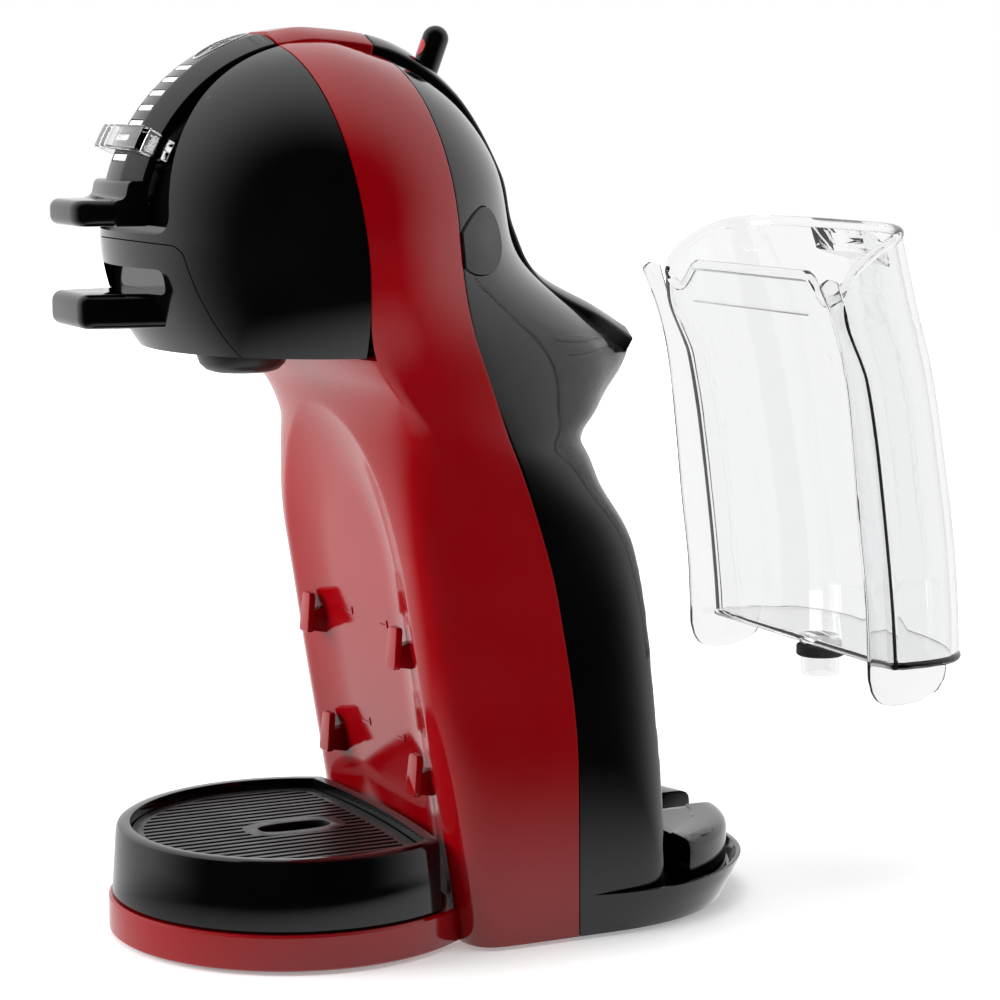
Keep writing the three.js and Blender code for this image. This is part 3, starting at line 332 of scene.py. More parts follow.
def rod(name, axis, at, low, high, radius, radius_end=None, sides=64):
    """A round bar along an axis; at holds the two coordinates across it."""
    radii = (radius, radius if radius_end is None else radius_end)
    return stack(name, [circle(*at, r, sides) for r in radii], (low, high), axis)


def turned(name, x, y, profile, sides=96):
    """A solid of revolution about an upright axis, from (radius, height) pairs."""
    return stack(name, [circle(x, y, max(r, 0.02), sides) for r, _ in profile], [z for _, z in profile])


def mirror(line):
    """The same line across the middle plane, run the other way."""
    return line[::-1] * [-1, 1]


def bezier(start, corner, end, places):
    """A curve from start to end that is drawn towards a corner, at places from 0 to 1."""
    t = np.asarray(places)[:, None]
    return (1 - t) ** 2 * np.asarray(start) + 2 * t * (1 - t) * np.asarray(corner) + t**2 * np.asarray(end)


def rounded(points, radius, steps=6):
    """A closed outline with its corners rounded; radius is one number or one per corner."""
    p = np.asarray(points, float)
    count = len(p)
    radii = [radius] * count if np.isscalar(radius) else list(radius)
    out = []
    for i in range(count):
        a, b, c = p[i - 1], p[i], p[(i + 1) % count]
        u, v = (a - b), (c - b)
        lu, lv = np.linalg.norm(u), np.linalg.norm(v)
        reach = min(radii[i], lu * 0.49, lv * 0.49)
        if reach < 1e-6:
            out.append(b)
            continue
        s, e = b + u / lu * reach, b + v / lv * reach
        out.extend(bezier(s, b, e, np.linspace(0, 1, steps + 1)))
    return np.array(out)


def spline(points, count):
    """A Catmull-Rom curve through points."""
    p = np.asarray(points, float)
    p = np.vstack([2 * p[0] - p[1], p, 2 * p[-1] - p[-2]])
    spans = len(p) - 3
    out = []
    for s in np.linspace(0, spans, count):
        i = min(int(s), spans - 1)
        t = s - i
        a, b, c, d = p[i : i + 4]
        cubic = (2 * a - 5 * b + 4 * c - d) * t**2 + (3 * b - a - 3 * c + d) * t**3
        out.append(0.5 * (2 * b + (c - a) * t + cubic))
    return np.array(out)


def even(points, count):
    """The same line with count points evenly spaced along it."""
    p = np.asarray(points, float)
    run = np.concatenate([[0], np.cumsum(np.linalg.norm(np.diff(p, axis=0), axis=1))])
    at = np.linspace(0, run[-1], count)
    return np.stack([np.interp(at, run, p[:, k]) for k in range(p.shape[1])], 1)


def sweep(name, path, across, profile):
    """A profile of (side, height) pairs swept along a path in the Y, Z plane, closed at both ends."""
    p = np.asarray(path, float)
    t = np.gradient(p, axis=0)
    t /= np.linalg.norm(t, axis=1)[:, None]
    loops = []
    for k, ((y, z), (ty, tz)) in enumerate(zip(p, t)):
        scale = across(k / (len(p) - 1))
        loops.append([(x * scale, y - tz * h, z + ty * h) for x, h in profile])
    return loft(name, loops)


def through(stations):
    """A smooth curve through (place, value) stations that never overshoots them."""
    xs = np.array([s[0] for s in stations], float)
    ys = np.array([s[1] for s in stations], float)
    rise = np.diff(ys) / np.diff(xs)
    slope = np.empty(len(xs))
    slope[0], slope[-1] = rise[0], rise[-1]
    for i in range(1, len(xs) - 1):
        a, b = rise[i - 1], rise[i]
        slope[i] = 0.0 if a * b <= 0 else 2 * a * b / (a + b)

    def value(x):
        x = float(np.clip(x, xs[0], xs[-1]))
        i = int(np.clip(np.searchsorted(xs, x, side="right") - 1, 0, len(xs) - 2))
        span = xs[i + 1] - xs[i]
        t = (x - xs[i]) / span
        return (
            ys[i] * (2 * t**3 - 3 * t**2 + 1)
            + slope[i] * span * (t**3 - 2 * t**2 + t)
            + ys[i + 1] * (3 * t**2 - 2 * t**3)
            + slope[i + 1] * span * (t**3 - t**2)
        )

    return value


def ease(t):
    """A soft step from 0 to 1."""
    t = np.clip(t, 0.0, 1.0)
    return t * t * (3 - 2 * t)


# ---- the skin
HEAD_Y, HEAD_Z, HEAD_W, HEAD_R, HEAD_LOW = 4.0, 238.0, 80.5, 64.5, 200.0
lower_width = through([(0, 63.5), (118, 63.5), (145, 62.4), (174, 61.8), (188, 62.5), (200, 65.05)])
lower_front = through([(0, 39), (42, 32.3), (86, 24.8), (130, 18), (159, 13.2), (184, 8), (199.5, -1.5)])
front_power = through([(0, 9), (130, 9), (159, 4.3), (174, 2.5), (188, 2.2), (199.5, 6)])
widest_y = through([(0, 76), (66, 75), (107, 71), (145, 50), (172, 30), (200, 6), (206, 4)])
back_y = through(
    [(0, 124), (90, 116), (131, 109), (155, 98.8), (166, 99), (180, 117.5), (188, 125.3), (195, 128.2)]
    + [(200, 124.5), (208, 111.5), (220, 88), (236, 77.5), (258, 70.5), (276, 59), (292, 39), (302.4, 8)]
)
rear_power = through(
    [(0, 5), (140, 5), (158, 3.4), (172, 2.25), (190, 1.62), (222, 1.6), (260, 1.8), (302, 2)]
)


def section(z):
    """The skin's outline at height z: half width, front, widest place, back and the two powers."""
    if z < HEAD_LOW:
        return lower_width(z), lower_front(z), widest_y(z), back_y(z), front_power(z), rear_power(z)
    ball = sqrt(max(0.0, 1 - min(1.0, abs(z - HEAD_Z) / HEAD_R) ** 2))
    return HEAD_W * ball, HEAD_Y - HEAD_R * ball, widest_y(z), back_y(z), 2.0, rear_power(z)


def half_width(z, y):
    """The skin's half width at height z and one y."""
    width, front, middle, back, front_bend, rear_bend = section(z)
    if y >= middle:
        part, power = (y - middle) / (back - middle), rear_bend
    else:
        part, power = (middle - y) / (middle - front), front_bend
    return width * max(0.0, 1 - min(1.0, part) ** power) ** (1 / power)


def side_line(z, y0, y1, count, correct=None):
    """Points of the skin's +X side at height z from y0 to y1, evenly spaced."""
    width, front, middle, back, front_bend, rear_bend = section(z)

    def angle(y):
        if y >= middle:
            return asin(min(1.0, (y - middle) / (back - middle)) ** (rear_bend / 2))
        return -asin(min(1.0, (middle - y) / (middle - front)) ** (front_bend / 2))

    line = []
    for a in np.linspace(angle(y0), angle(y1), 500):
        power, reach = (rear_bend, back - middle) if a > 0 else (front_bend, middle - front)
        y = middle + copysign(reach * abs(sin(a)) ** (2 / power), a)
        x = width * max(0.0, cos(a)) ** (2 / power)
        if correct:
            x += correct(z, y)
        line.append((x, y))
    return even(line, count)


# front seam (black head to red band) and rear seam (red to black back), as y over z
seam = bezier((0.5, 199.2), (-9.5, 254), (-10.5, 312), np.linspace(0, 1, 400))
front_seam = lambda z: float(np.interp(z, seam[:, 1], seam[:, 0]))
rear_seam = through([(-4, 78), (58, 77.5), (115, 70), (178, 51), (221, 33.5), (262, 27.5), (314, 24)])

GAP = 0.42


def corner_fill(z, y):
    """Fairs the column's top corner into the head's side just below the black head."""
    fill_low = 178.0
    if z >= HEAD_LOW or z < fill_low:
        return 0.0
    ball = sqrt(1 - ((HEAD_Z - HEAD_LOW) / HEAD_R) ** 2)
    wanted = HEAD_W * ball * sqrt(max(0.0, 1 - min(1.0, max(0.0, (HEAD_Y - y) / (HEAD_R * ball))) ** 2))
    there = half_width(HEAD_LOW - 0.1, max(y, -1.4))
    return max(0.0, wanted - there) * ease((z - fill_low) / 22) * ease((y + 1.5) / 2.0)


def levels(low, high, step):
    """Even heights from low to high, about step apart."""
    return np.linspace(low, high, max(3, int(round((high - low) / step)) + 1))


STEP = 1.3
SCOOP_HALF, SCOOP_SPRING, SCOOP_RISE, SCOOP_DEPTH = 50.0, 122.0, 58.0, 5.0


def scoop(x, z):
    """How far the column's front face is sunk at one place, by its distance inside the arch."""
    if z > SCOOP_SPRING:
        r = hypot(x / SCOOP_HALF, (z - SCOOP_SPRING) / SCOOP_RISE)
        inside = (1 - r) * SCOOP_HALF
    else:
        inside = SCOOP_HALF - abs(x)
    part = float(np.clip(inside / 26.0, 0.0, 1.0))
    return SCOOP_DEPTH * (1 - (1 - part) ** 2)


def nearby(places, reach, spacing=1.0):
    """For each place, the weights of an average over the places about reach from it."""
    weights = np.exp(-0.5 * ((places[:, None] - places[None, :]) / reach) ** 2) * spacing
    return weights / weights.sum(axis=1)[:, None]


def faired(grid, rows):
    """Smooths a grid of points up and down where the head meets the column."""
    grid = np.asarray(grid, float)
    rows = np.asarray(rows, float)
    smooth = np.einsum("ij,jkl->ikl", nearby(rows, 10.0, np.gradient(rows)), grid)
    weight = ease((rows - 168) / 14) * ease((238 - rows) / 22)
    return grid + (smooth - grid) * weight[:, None, None]


def front_shell():
    """The red shell: the column's front below the head, and the band from side to side over it."""
    low_z = levels(1.3, 199.5, STEP)
    high_z = levels(200.0, 300.9, STEP)
    split = lambda z: lower_front(z) + (2.0 + 20.0 * float(ease((200 - z) / 45)))
    side_columns = 56
    all_z = list(low_z) + list(high_z)
    band = []
    for z in all_z:
        y0 = min(split(z), widest_y(z) - 0.5) if z < HEAD_LOW else front_seam(z) + GAP / 2
        band.append(side_line(z, y0, rear_seam(z) - GAP / 2, side_columns, corner_fill))
    band = faired(band, all_z)
    points = []
    half_columns = 51
    pull = (np.linspace(0, 1, half_columns) ** 3)[:, None]
    for z, edge in zip(low_z, band):
        half = side_line(z, lower_front(z), min(split(z), widest_y(z) - 0.5), half_columns, corner_fill)
        half[0][0] = 0.0
        half = half + (edge[0] - half[-1]) * pull
        line = np.vstack([mirror(half[1:]), half])
        for x, y in line:
            depth = scoop(x, z) if abs(x) < SCOOP_HALF + 2 else 0.0
            points.append((x, y + depth, z))
    faces = grid_faces(len(low_z), 2 * half_columns - 1)
    for side in (1, -1):
        start = len(points)
        points += [(side * x, y, z) for z, line in zip(all_z, band) for x, y in line]
        faces += grid_faces(len(all_z), side_columns, offset=start)
    shell = new_object("front_shell_skin", points, faces)
    modified(shell, "WELD", merge_threshold=0.05 / 1000)
    face_outwards(shell, Vector((0, -0.02, 0.2)))
    thicken(shell, 2.4)
    return soften(shell, 0.35, 2, 50)


# the front edge of the seated tank's wings, as y over z
wing_seat = through([(0, 114.5), (46, 112.8), (78, 109), (106, 106), (132, 102.5), (155, 95.5), (170, 88)])


def rear_shell():
    """The black back: the column's rear and the head's, sunk where the seated tank's wings lie."""
    rows = levels(1.3, 300.9, STEP)
    columns = 191
    count = columns // 2 + 1
    plain = np.array([side_line(z, rear_seam(z) + GAP / 2, back_y(z) - 0.001, count) for z in rows])
    place = np.linspace(0, 1, plain.shape[1])
    halves = plain + (faired(plain, rows) - plain) * ease((0.97 - place) / 0.25)[None, :, None]
    level = np.einsum("jk,ikl->ijl", nearby(place, 0.06), halves)
    inner_part = ease(place / 0.12) * ease((1 - place) / 0.12)
    shoulder = ease((rows - 165) / 12) * ease((250 - rows) / 20)
    halves = halves + (level - halves) * (shoulder[:, None] * inner_part[None, :])[:, :, None]
    points = []
    for z, half in zip(rows, halves):
        half[-1][0] = 0.0
        line = np.vstack([half, mirror(half[:-1])])
        for x, y in line:
            depth = 1.2 * float(ease((y - wing_seat(z)) / 0.8)) if 14.4 < z < 167 else 0.0
            squeeze = max(0.0, abs(x) - depth) * copysign(1, x)
            points.append((squeeze, y - depth * float(ease((y - 100) / 12)), z))
    shell = new_object("rear_shell_skin", points, grid_faces(len(rows), columns))
    face_outwards(shell, Vector((0, -0.02, 0.15)))
    thicken(shell, 2.4)
    return soften(shell, 0.35, 2, 50)


# ---- red shell and its details
BUTTON_X, BUTTON_Y, BUTTON_Z, BUTTON_TURN = 62.8, 42.3, 238.0, radians(41)
HOOK_X, HOOK_LEVELS = 38.0, (57.0, 101.0)


def hook(name, x, z):
    """One cup hook: an upright tapered lip on a fin."""
    wall = lower_front(z) + SCOOP_DEPTH
    lip = wall - 7.5
    face = rounded([(x - 4.2, z - 7), (x + 4.2, z - 7), (x + 3.4, z + 7), (x - 3.4, z + 7)], 1.6)
    tab = prism(name, "y", face, lip, lip + 2.4)
    shear(tab, 0.09, z)
    side = [(lip + 1, z - 6.5), (wall + 2.2, z - 8), (wall + 1.4, z + 2.5), (lip + 1.2, z)]
    join(tab, prism(name + "_fin", "x", side, x - 2.2, x + 2.2))
    return soften(tab, 0.7, 3, 40)


def shear(obj, rate, z0):
    """Leans a piece back with height."""
    for v in obj.data.vertices:
        v.co.y += rate * (v.co.z - z0 / 1000.0)


shell = front_shell()
finish_piece(shell, "machine", "red_shell", "front_shell", angle=40)

ring_profile = [(58, 1.3), (63.2, 1.3), (63.7, 1.8), (63.7, 12.5), (63.0, 13.3), (58, 13.3), (0.02, 13.3)]
ring = turned("base_ring", 0, 0, ring_profile, 160)
cut(ring, prism("ring_back", "z", [(-90, 44), (90, 44), (90, 90), (-90, 90)], -5, 30))
finish_piece(ring, "machine", "red_shell")

for i_, (hx, hz) in enumerate((s_ * HOOK_X, z_) for z_ in HOOK_LEVELS for s_ in (-1, 1)):
    finish_piece(hook(f"cup_hook_{i_ + 1}", hx, hz), "machine", "red_shell")

# small moulded corner marks between the hooks
corner = [(-3.5, 0), (3.5, 0), (3.5, 2.6), (2.7, 2.6), (2.7, 0.8), (-3.5, 0.8)]
for i_, (mx, mz) in enumerate(((-14, 104), (16, 104), (-14, 64), (16, 64))):
    wall_ = lower_front(mz) + SCOOP_DEPTH
    mark = prism(f"corner_mark_{i_ + 1}", "y", np.add(corner, (mx, mz)), wall_ - 0.35, wall_ + 1.2)
    shear(mark, -0.155, mz)
    finish_piece(mark, "machine", "red_shell")

# ---- ridge strip and spine
SPINE = [(-10.6, 303.9), (6, 305.4), (34, 300.9), (58, 284.6), (74, 259)]
SPINE += [(79, 240), (89, 223), (112, 210.3), (125.4, 202.2)]
spine_path = even(spline(SPINE, 400), 260)
STRIP = [(-17.8, -10), (-17.8, -4.3), (-17.3, -3.8), (-8, -0.25), (-6.6, 0)]
STRIP += [(-x, h) for x, h in reversed(STRIP)]


def strip(name, start, end, taper=0.0):
    """The part of the raised strip between two y values on its path."""
    path = spine_path[(spine_path[:, 0] >= start) & (spine_path[:, 0] <= end)]
    width = lambda t: 1.0 - taper * float(ease((t - 0.86) / 0.14))
    return sweep(name, path, width, STRIP)


STICK_SLOT = (-9.8, 9.8, 41.8, 58.5, 273, 330)
seam_top = rear_seam(301.5)
ridge = soften(strip("ridge_cover_strip", -10.6, seam_top - 0.3), 0.3, 2, 30)
finish_piece(ridge, "machine", "red_shell", "ridge_cover")
spine = soften(strip("spine_cover_strip", seam_top + 0.3, 200, 0.12), 1.2, 4, 40)
cut(spine, block("stick_slot", *STICK_SLOT))
finish_piece(spine, "machine", "gloss_black", "spine_cover")

# ---- black back
back = rear_shell()
cut(back, block("stick_slot", *STICK_SLOT))


def button_outline(grow):
    """An egg lying in the button's own plane, narrower at the top."""
    out = []
    for t in np.linspace(0, 2 * pi, 48, endpoint=False):
        rise = max(0.0, sin(t))
        across = (16.2 + grow) * cos(t) * (1 - 0.3 * rise**1.5) + 1.5 * rise
        height = (11.8 if sin(t) > 0 else 10.0) + grow
        out.append((across, height * sin(t) - 2.3))
    return np.array(out)


def button_bar(name, grow, low, high):
    """The button's outline as a bar through the skin, along the button's own direction."""
    c, s = cos(BUTTON_TURN), sin(BUTTON_TURN)
    loops = [
        [(BUTTON_X + d * c - a * s, BUTTON_Y + d * s + a * c, BUTTON_Z + b) for a, b in button_outline(grow)]
        for d in (low, high)
    ]
    return loft(name, loops)


cut(back, button_bar("button_hole", 0.45, -9, 20))
finish_piece(back, "machine", "gloss_black", "rear_shell", angle=40)


def skin_patch(name, y0, y1, z0, z1, offset):
    """A piece of the skin's +X side as a plate, raised by offset."""
    spacing = 0.8
    zs = levels(z0, z1, spacing)
    count = int((y1 - y0) / spacing * 1.6)
    points = [(x, y, z) for z in zs for x, y in side_line(z, y0, y1, count)]
    plate = new_object(name, points, grid_faces(len(zs), count))
    face_outwards(plate, Vector((0, -0.08, 0.238)))
    modified(plate, "DISPLACE", strength=offset / 1000, mid_level=0)
    return thicken(plate, 3.6)


button = skin_patch("power_button_cap", 18, 66, 220, 258, 0.75)
keep(button, button_bar("button_bar", 0, -12, 24))
limit = [(rear_seam(z) + 1.1, z) for z in np.linspace(215, 262, 30)]
keep(button, prism("button_limit", "x", limit + [(150, 262), (150, 215)], 0, 120))
finish_piece(button, "button", "button_grey", "power_button")

# rear base: flared lip round the dock
SIDES = 160


def base_lip(name, stations):
    """The flared lip as a solid, from (height, inset) stations."""
    part = [(z - 1.3) / 13.7 for z, _ in stations]
    rings = [circle(0, 97 + 4.5 * t, 63 + 3.5 * t - inset, SIDES) for t, (_, inset) in zip(part, stations)]
    return stack(name, rings, [z for z, _ in stations])


flare = base_lip("rear_base", [(1.3, 0), (4, 0), (8, 0), (12, 0), (14.6, 0.4), (15, 0.4)])
trench = base_lip("trench", [(11, 2.4), (14.6, 2), (20, 2)])
cut(flare, trench, base_lip("under", [(-2, 2.9), (8.4, 2.9)]))
column_levels = (-3, 6, 14, 22)
column_sides = [side_line(z, widest_y(z), back_y(z) - 0.01, 120) for z in np.maximum(column_levels, 0)]
column = stack("column_clear", [np.vstack([side, mirror(side)]) for side in column_sides], column_levels)
cut(flare, block("front_half", -90, 90, -60, 79, -5, 40), column)
finish_piece(soften(flare, 0.4, 2, 40), "machine", "gloss_black")

# dock puck with its well and channel
INLET_Y = 134.0
puck_profile = [(60.8, 11.4), (60.9, 23.6), (60.6, 25.4), (59.6, 26.7), (58, 27.4), (55, 27.6), (49, 27.6)]
puck = turned("dock_puck", 0, 101.5, puck_profile + [(48.4, 26.9), (0.02, 26.9)], SIDES)
cut(
    puck,
    block("puck_front", -90, 90, 0, 124.8, 0, 60),
    rod("well", "z", (0, INLET_Y), 13.2, 40, 9.5),
    block("channel", -9.5, 9.5, INLET_Y, 190, 13.2, 40),
    rod("inlet", "z", (0, INLET_Y), 5, 30, 3.9),
)
finish_piece(soften(puck, 0.5, 3, 40), "machine", "gloss_black", "tank_dock")

# ---- black head
BALL_SIDES, BALL_RINGS = ((200, 130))


def ellipsoid(name, shrink):
    """The head's ball, drawn inwards by shrink."""
    loops = []
    for a in np.linspace(-pi / 2 + 1e-3, pi / 2 - 1e-3, BALL_RINGS):
        x = (HEAD_W - shrink) * sin(a)
        ring = circle(HEAD_Y, HEAD_Z, (HEAD_R - shrink) * cos(a), BALL_SIDES)
        loops.append([(x, y, z) for y, z in ring])
    return loft(name, loops)


def ahead_of_seam(name):
    """Everything in front of the seam between the black head and the red band."""
    low, high, far = 190, 312, -150
    line = [(front_seam(z) - GAP / 2, z) for z in np.linspace(low, high, 80)]
    return prism(name, "x", line + [(far, high), (far, low)], -120, 120)


def channel_outline(grow):
    """The lever's channel from the front: straight sides that curve into its lower edge."""
    side = spline([(19.4, 320), (19.5, 301), (22.4, 287), (27, 272), (31.5, 256), (34, 245.5)], 60)
    side[:, 0] += grow
    low = 239.2 - grow
    right = np.vstack([side, bezier(side[-1], (34.2 + grow, low), (27.0, low), np.linspace(0, 1, 12)[1:])])
    return np.vstack([right, mirror(right)])


def drawer_outline(grow):
    """The drawer's front, which widens downwards below a slightly arched upper edge."""
    right = spline([(36.5, 235.6), (39.6, 233.4), (41, 229), (42.6, 221), (43.8, 212), (44.6, 198)], 60)
    right = right + [grow, grow * 0.7]
    top = [(x, 236.6 + grow - 0.9 * (x / 36.5) ** 2) for x in np.linspace(0, 34, 12)]
    line = np.vstack([top, right])
    return np.vstack([line, mirror(line[1:])])


def core(name, radius):
    """A round tool along the head's own axis."""
    return rod(name, "x", (HEAD_Y, HEAD_Z), -95, 95, radius, sides=240)


ABOVE_COLUMN = (-120, 120, -120, 60, HEAD_LOW + 0.4, 330)
casing = ellipsoid("head_casing_shell", 0)
keep(casing, ahead_of_seam("ahead"), block("above", *ABOVE_COLUMN))
trough = ellipsoid("trough", 0)
keep(trough, prism("trough_outline", "y", channel_outline(2.4), -120, 8), ahead_of_seam("ahead"))
cut(trough, core("trough_core", 55.2))
cut(casing, ellipsoid("inside", 2.6))
join(casing, trough)
channel = prism("channel", "y", channel_outline(0), -120, 8)
cut(channel, core("channel_core", 57.6))
cut(casing, channel, prism("opening", "y", drawer_outline(0.4), -120, -6))
PIN = (-14.0, 300.0)  # the lever's hinge, as y and z
post = block("hinge_post", -3, 3, -15.9, -12.1, 291.4, 300)
join(post, rod("hinge_eye", "x", PIN, -3, 3, 1.9))
join(casing, post)
cut(casing, rod("pin_hole", "x", PIN, -3.4, 3.4, 1.15))
finish_piece(casing, "machine", "gloss_black", "head_casing", angle=30)

# ---- locking lever


def on_arc(x, angle, radius):
    """A point about the head's axis, at an angle above the front's horizontal."""
    return (x, HEAD_Y - radius * cos(angle), HEAD_Z + radius * sin(angle))


def band(name, start, end, corners, count=90):
    """A bar bent about the head's axis, from its (radius, x) corners and two angles in degrees."""
    angles = np.radians(np.linspace(start, end, count))
    return loft(name, [[on_arc(x, a, r) for r, x in corners] for a in angles])


def bar_section(half, low, high):
    """The corners of a flat bar for band()."""
    return [(low, -half), (high, -half), (high, half), (low, half)]


STRIP_RADIUS = 67.5
LEVER_TOP = degrees(atan2(PIN[1] - HEAD_Z, HEAD_Y - PIN[0]))
LEVER_PROFILE = [(61, -17.8), (63.2, -17.8), (63.6, -17.5), (67.25, -8), (STRIP_RADIUS, -6.6)]
LEVER_PROFILE += [(r, -x) for r, x in reversed(LEVER_PROFILE)]
lever = band("locking_lever_strip", 12.0, LEVER_TOP, LEVER_PROFILE)
knuckle = rod("knuckle", "x", PIN, -17.8, 17.8, 2.9)
join(lever, keep(knuckle, band("knuckle_limit", LEVER_TOP - 5, LEVER_TOP + 5, LEVER_PROFILE)))
root_side = [(-55.6, 241.4), (-66, 241.4), (-66, 249.6), (-62.8, 250.4), (-61.6, 256), (-55, 256)]
root = prism("lever_root", "x", rounded(root_side, [0.5, 0, 0, 2, 2, 0.5]), -17.8, 17.8)
join(lever, soften(root, 0.8, 3, 40))
handle_outline = rounded([(-17.5, -52), (-16.6, -79), (16.6, -79), (17.5, -52)], [3.6, 7, 7, 3.6], 10)
join(lever, cushion("lever_handle", handle_outline, 241.4, 249.8, 3.0))
BAR_FIRST, BAR_PITCH = 21.9, 5.25
bar_angles = [BAR_FIRST + BAR_PITCH * k for k in range(7)]
for k_, a_ in enumerate(bar_angles):
    cut(lever, band(f"bar_pocket_{k_}", a_ - 1.15, a_ + 1.15, bar_section(6.5, 65.9, 69), 4))
cut(
    lever,
    block("post_slot", -3.4, 3.4, -16.3, -5, 280, 300),
    block("post_swing", -3.4, 3.4, -12.8, -5, 299, 301.5),
    rod("eye_slot", "x", PIN, -3.4, 3.4, 2.3),
    rod("lever_bore", "x", PIN, -10.3, 10.3, 1.15),
)
finish_piece(lever, "lever", "gloss_black", "locking_lever")
bar_corners = [(66.1, -6.2), (67.35, -6.2), (67.45, -5.9), (67.45, 5.9), (67.35, 6.2), (66.1, 6.2)]
for k_, a_ in enumerate(bar_angles, 1):
    bar = band(f"light_guide_{k_}", a_ - 0.93, a_ + 0.93, bar_corners, 6)
    finish_piece(soften(bar, 0.2, 2, 40), "lever", "light", f"light_bar_{k_}")


def oval(name, angle, half_x, half_t, low, high, hole=None):
    """An oval plate on the strip, bent round the head's axis."""
    middle = radians(angle)
    turn = np.linspace(0, 2 * pi, 64, endpoint=False)
    loops = [
        [on_arc(half_x * part * cos(t), middle + half_t * part * sin(t) / STRIP_RADIUS, r) for t in turn]
        for part, r in [(1.0, low), (1.0, high - 0.15), (0.975, high)]
    ]
    plate = loft(name, loops)
    if hole:
        cut(plate, oval(name + "_hole", angle, half_x - hole, half_t - hole, low - 2, high + 2))
    return plate


BADGE_ANGLE = 66.0
badge = oval("badge_oval", BADGE_ANGLE, 6.2, 10.4, 66.6, 67.75)
finish_piece(badge, "lever", "badge", "badge_plate")
rim = oval("badge_rim", BADGE_ANGLE, 6.2, 10.4, 67.0, 67.95, 0.7)
finish_piece(rim, "lever", "badge", material=PALE_MARK)
bean = oval("badge_centre", BADGE_ANGLE, 2.0, 4.2, 67.0, 67.9, 0.55)
finish_piece(bean, "lever", "badge", material=PALE_MARK)

# clear slider
slider_low, slider_high = bar_angles[1] - 3.4, bar_angles[1] + 3.4
slider = band("volume_slider_ring", slider_low, slider_high, bar_section(20.5, 58.8, 70.6), 12)
cut(slider, band("slider_hole", slider_low - 2, slider_high + 2, bar_section(18.3, 60.6, 67.9), 12))
finish_piece(soften(slider, 0.5, 3, 40), "slider", "clear_plastic", "volume_slider")

# ---- capsule drawer
panel = ellipsoid("capsule_drawer_body", 0)
cut(panel, ellipsoid("inside", 3.2))
keep(panel, prism("panel_outline", "y", drawer_outline(0), -120, -14))
keep(panel, block("above", *ABOVE_COLUMN))
box_outline = rounded([(-30, -55), (30, -55), (30, 8), (-30, 8)], [2, 2, 9, 9])
join(panel, keep(prism("drawer_box", "z", box_outline, 204, 231.6), ellipsoid("box_limit", 2.0)))
grip_outline = rounded([(-29, 219.8), (29, 219.8), (30, 228), (-30, 228)], 3.5)
cut(panel, prism("grip", "y", grip_outline, -120, -51.5))
finger_corners = [(-25, -40), (-18.5, -69), (-17, -78.2), (17, -78.2), (18.5, -69), (25, -40)]
finger_outline = rounded(finger_corners, [4, 8, 7, 7, 8, 4], 10)
finger = cushion("drawer_handle", finger_outline, 208.6, 219.8, 3.4)
# the handle's lower front edge, drawn back by 2.2 mm
for v_ in finger.data.vertices:
    if v_.co.z < 0.2087 and v_.co.y < -0.15:
        v_.co.y += 0.0022
join(panel, finger)
CAPSULE = (0.0, -17.0)
cut(panel, rod("cavity", "z", CAPSULE, 207, 240, 21.5, 23.5))
cut(panel, rod("socket", "z", CAPSULE, 190, 215, 15.9))
finish_piece(panel, "drawer", "gloss_black", "capsule_drawer", "capsule_tray", angle=30)

cup_outside = [(3.4, 193.4), (4.2, 191.9), (6, 191.5), (9.5, 191.7), (12.2, 192.6), (14.3, 194.6)]
cup_outside += [(15.3, 197.6), (15.5, 207.4), (21, 207.5), (22.8, 229)]
cup_inside = [(21.2, 229), (19.4, 209.5), (13.9, 209.5), (13.5, 199), (2.4, 199), (2.4, 193.4)]
cup = turned("capsule_cup_shell", *CAPSULE, cup_outside + cup_inside)
finish_piece(soften(cup, 0.2, 2, 50), "drawer", "satin_black", "capsule_cup")

# underside of the head
under = ellipsoid("head_underside_plate", 3.1)
keep(under, block("slab", -90, 90, -90, 22, 200.9, 203.3))
cut(under, block("slot", -16.7, 16.7, -90, -0.3, 190, 220))
cut(under, prism("door", "y", drawer_outline(0.6), -120, -24))
finish_piece(under, "machine", "gloss_black", "head_underside")

# ---- stick
PIVOT_Y, PIVOT_Z, LEAN = 47.0, 283.0, radians(21)


def leaned(x, y, z):
    """Where a point of the upright stick goes when the stick is leaned back about its pivot."""
    back = y * cos(LEAN) + z * sin(LEAN)
    return (x, PIVOT_Y + back, PIVOT_Z - y * sin(LEAN) + z * cos(LEAN))


tip = [(4.5 * cos(a), 20.5 + 4.5 * sin(a)) for a in np.linspace(0.12, 1.5, 12)]
stick = turned("hot_cold_stick_bar", 0, 0, [(4.3, 0), (4.5, 2), (4.5, 20.5)] + tip, 48)
for v_ in stick.data.vertices:
    x_, y_, z_ = v_.co * 1000
    v_.co = put([leaned(x_, y_ + FRAME_Y, z_)])[0]
join(stick, rod("hub", "y", (0, PIVOT_Z), 43.9, 51, 7.5))
finish_piece(stick, "stick", "gloss_black", "hot_cold_stick")


def dot(name, side, material):
    """Half of a round mark near the stick's top, on the side that faces forward."""
    rings, spokes = 7, 25
    points = []
    for r in np.linspace(0.05, 3.0, rings):
        for t in np.linspace(-pi / 2, pi / 2, spokes):
            a = radians(-95) + side * r * cos(t) / 4.56
            x, y, z = 4.57 * cos(a), 4.57 * sin(a), 15.8 + r * sin(t)
            points.append(leaned(x, y, z))
    mark = new_object(name, points, grid_faces(rings, spokes))
    face_outwards(mark, Vector(put([leaned(0, 0, 15.8)])[0]))
    thicken(mark, 0.12)
    finish_piece(mark, "stick", "gloss_black", material=material)


dot("hot_mark", 1, RED_MARK)
dot("cold_mark", -1, BLUE_MARK)

# ---- drip tray and grille


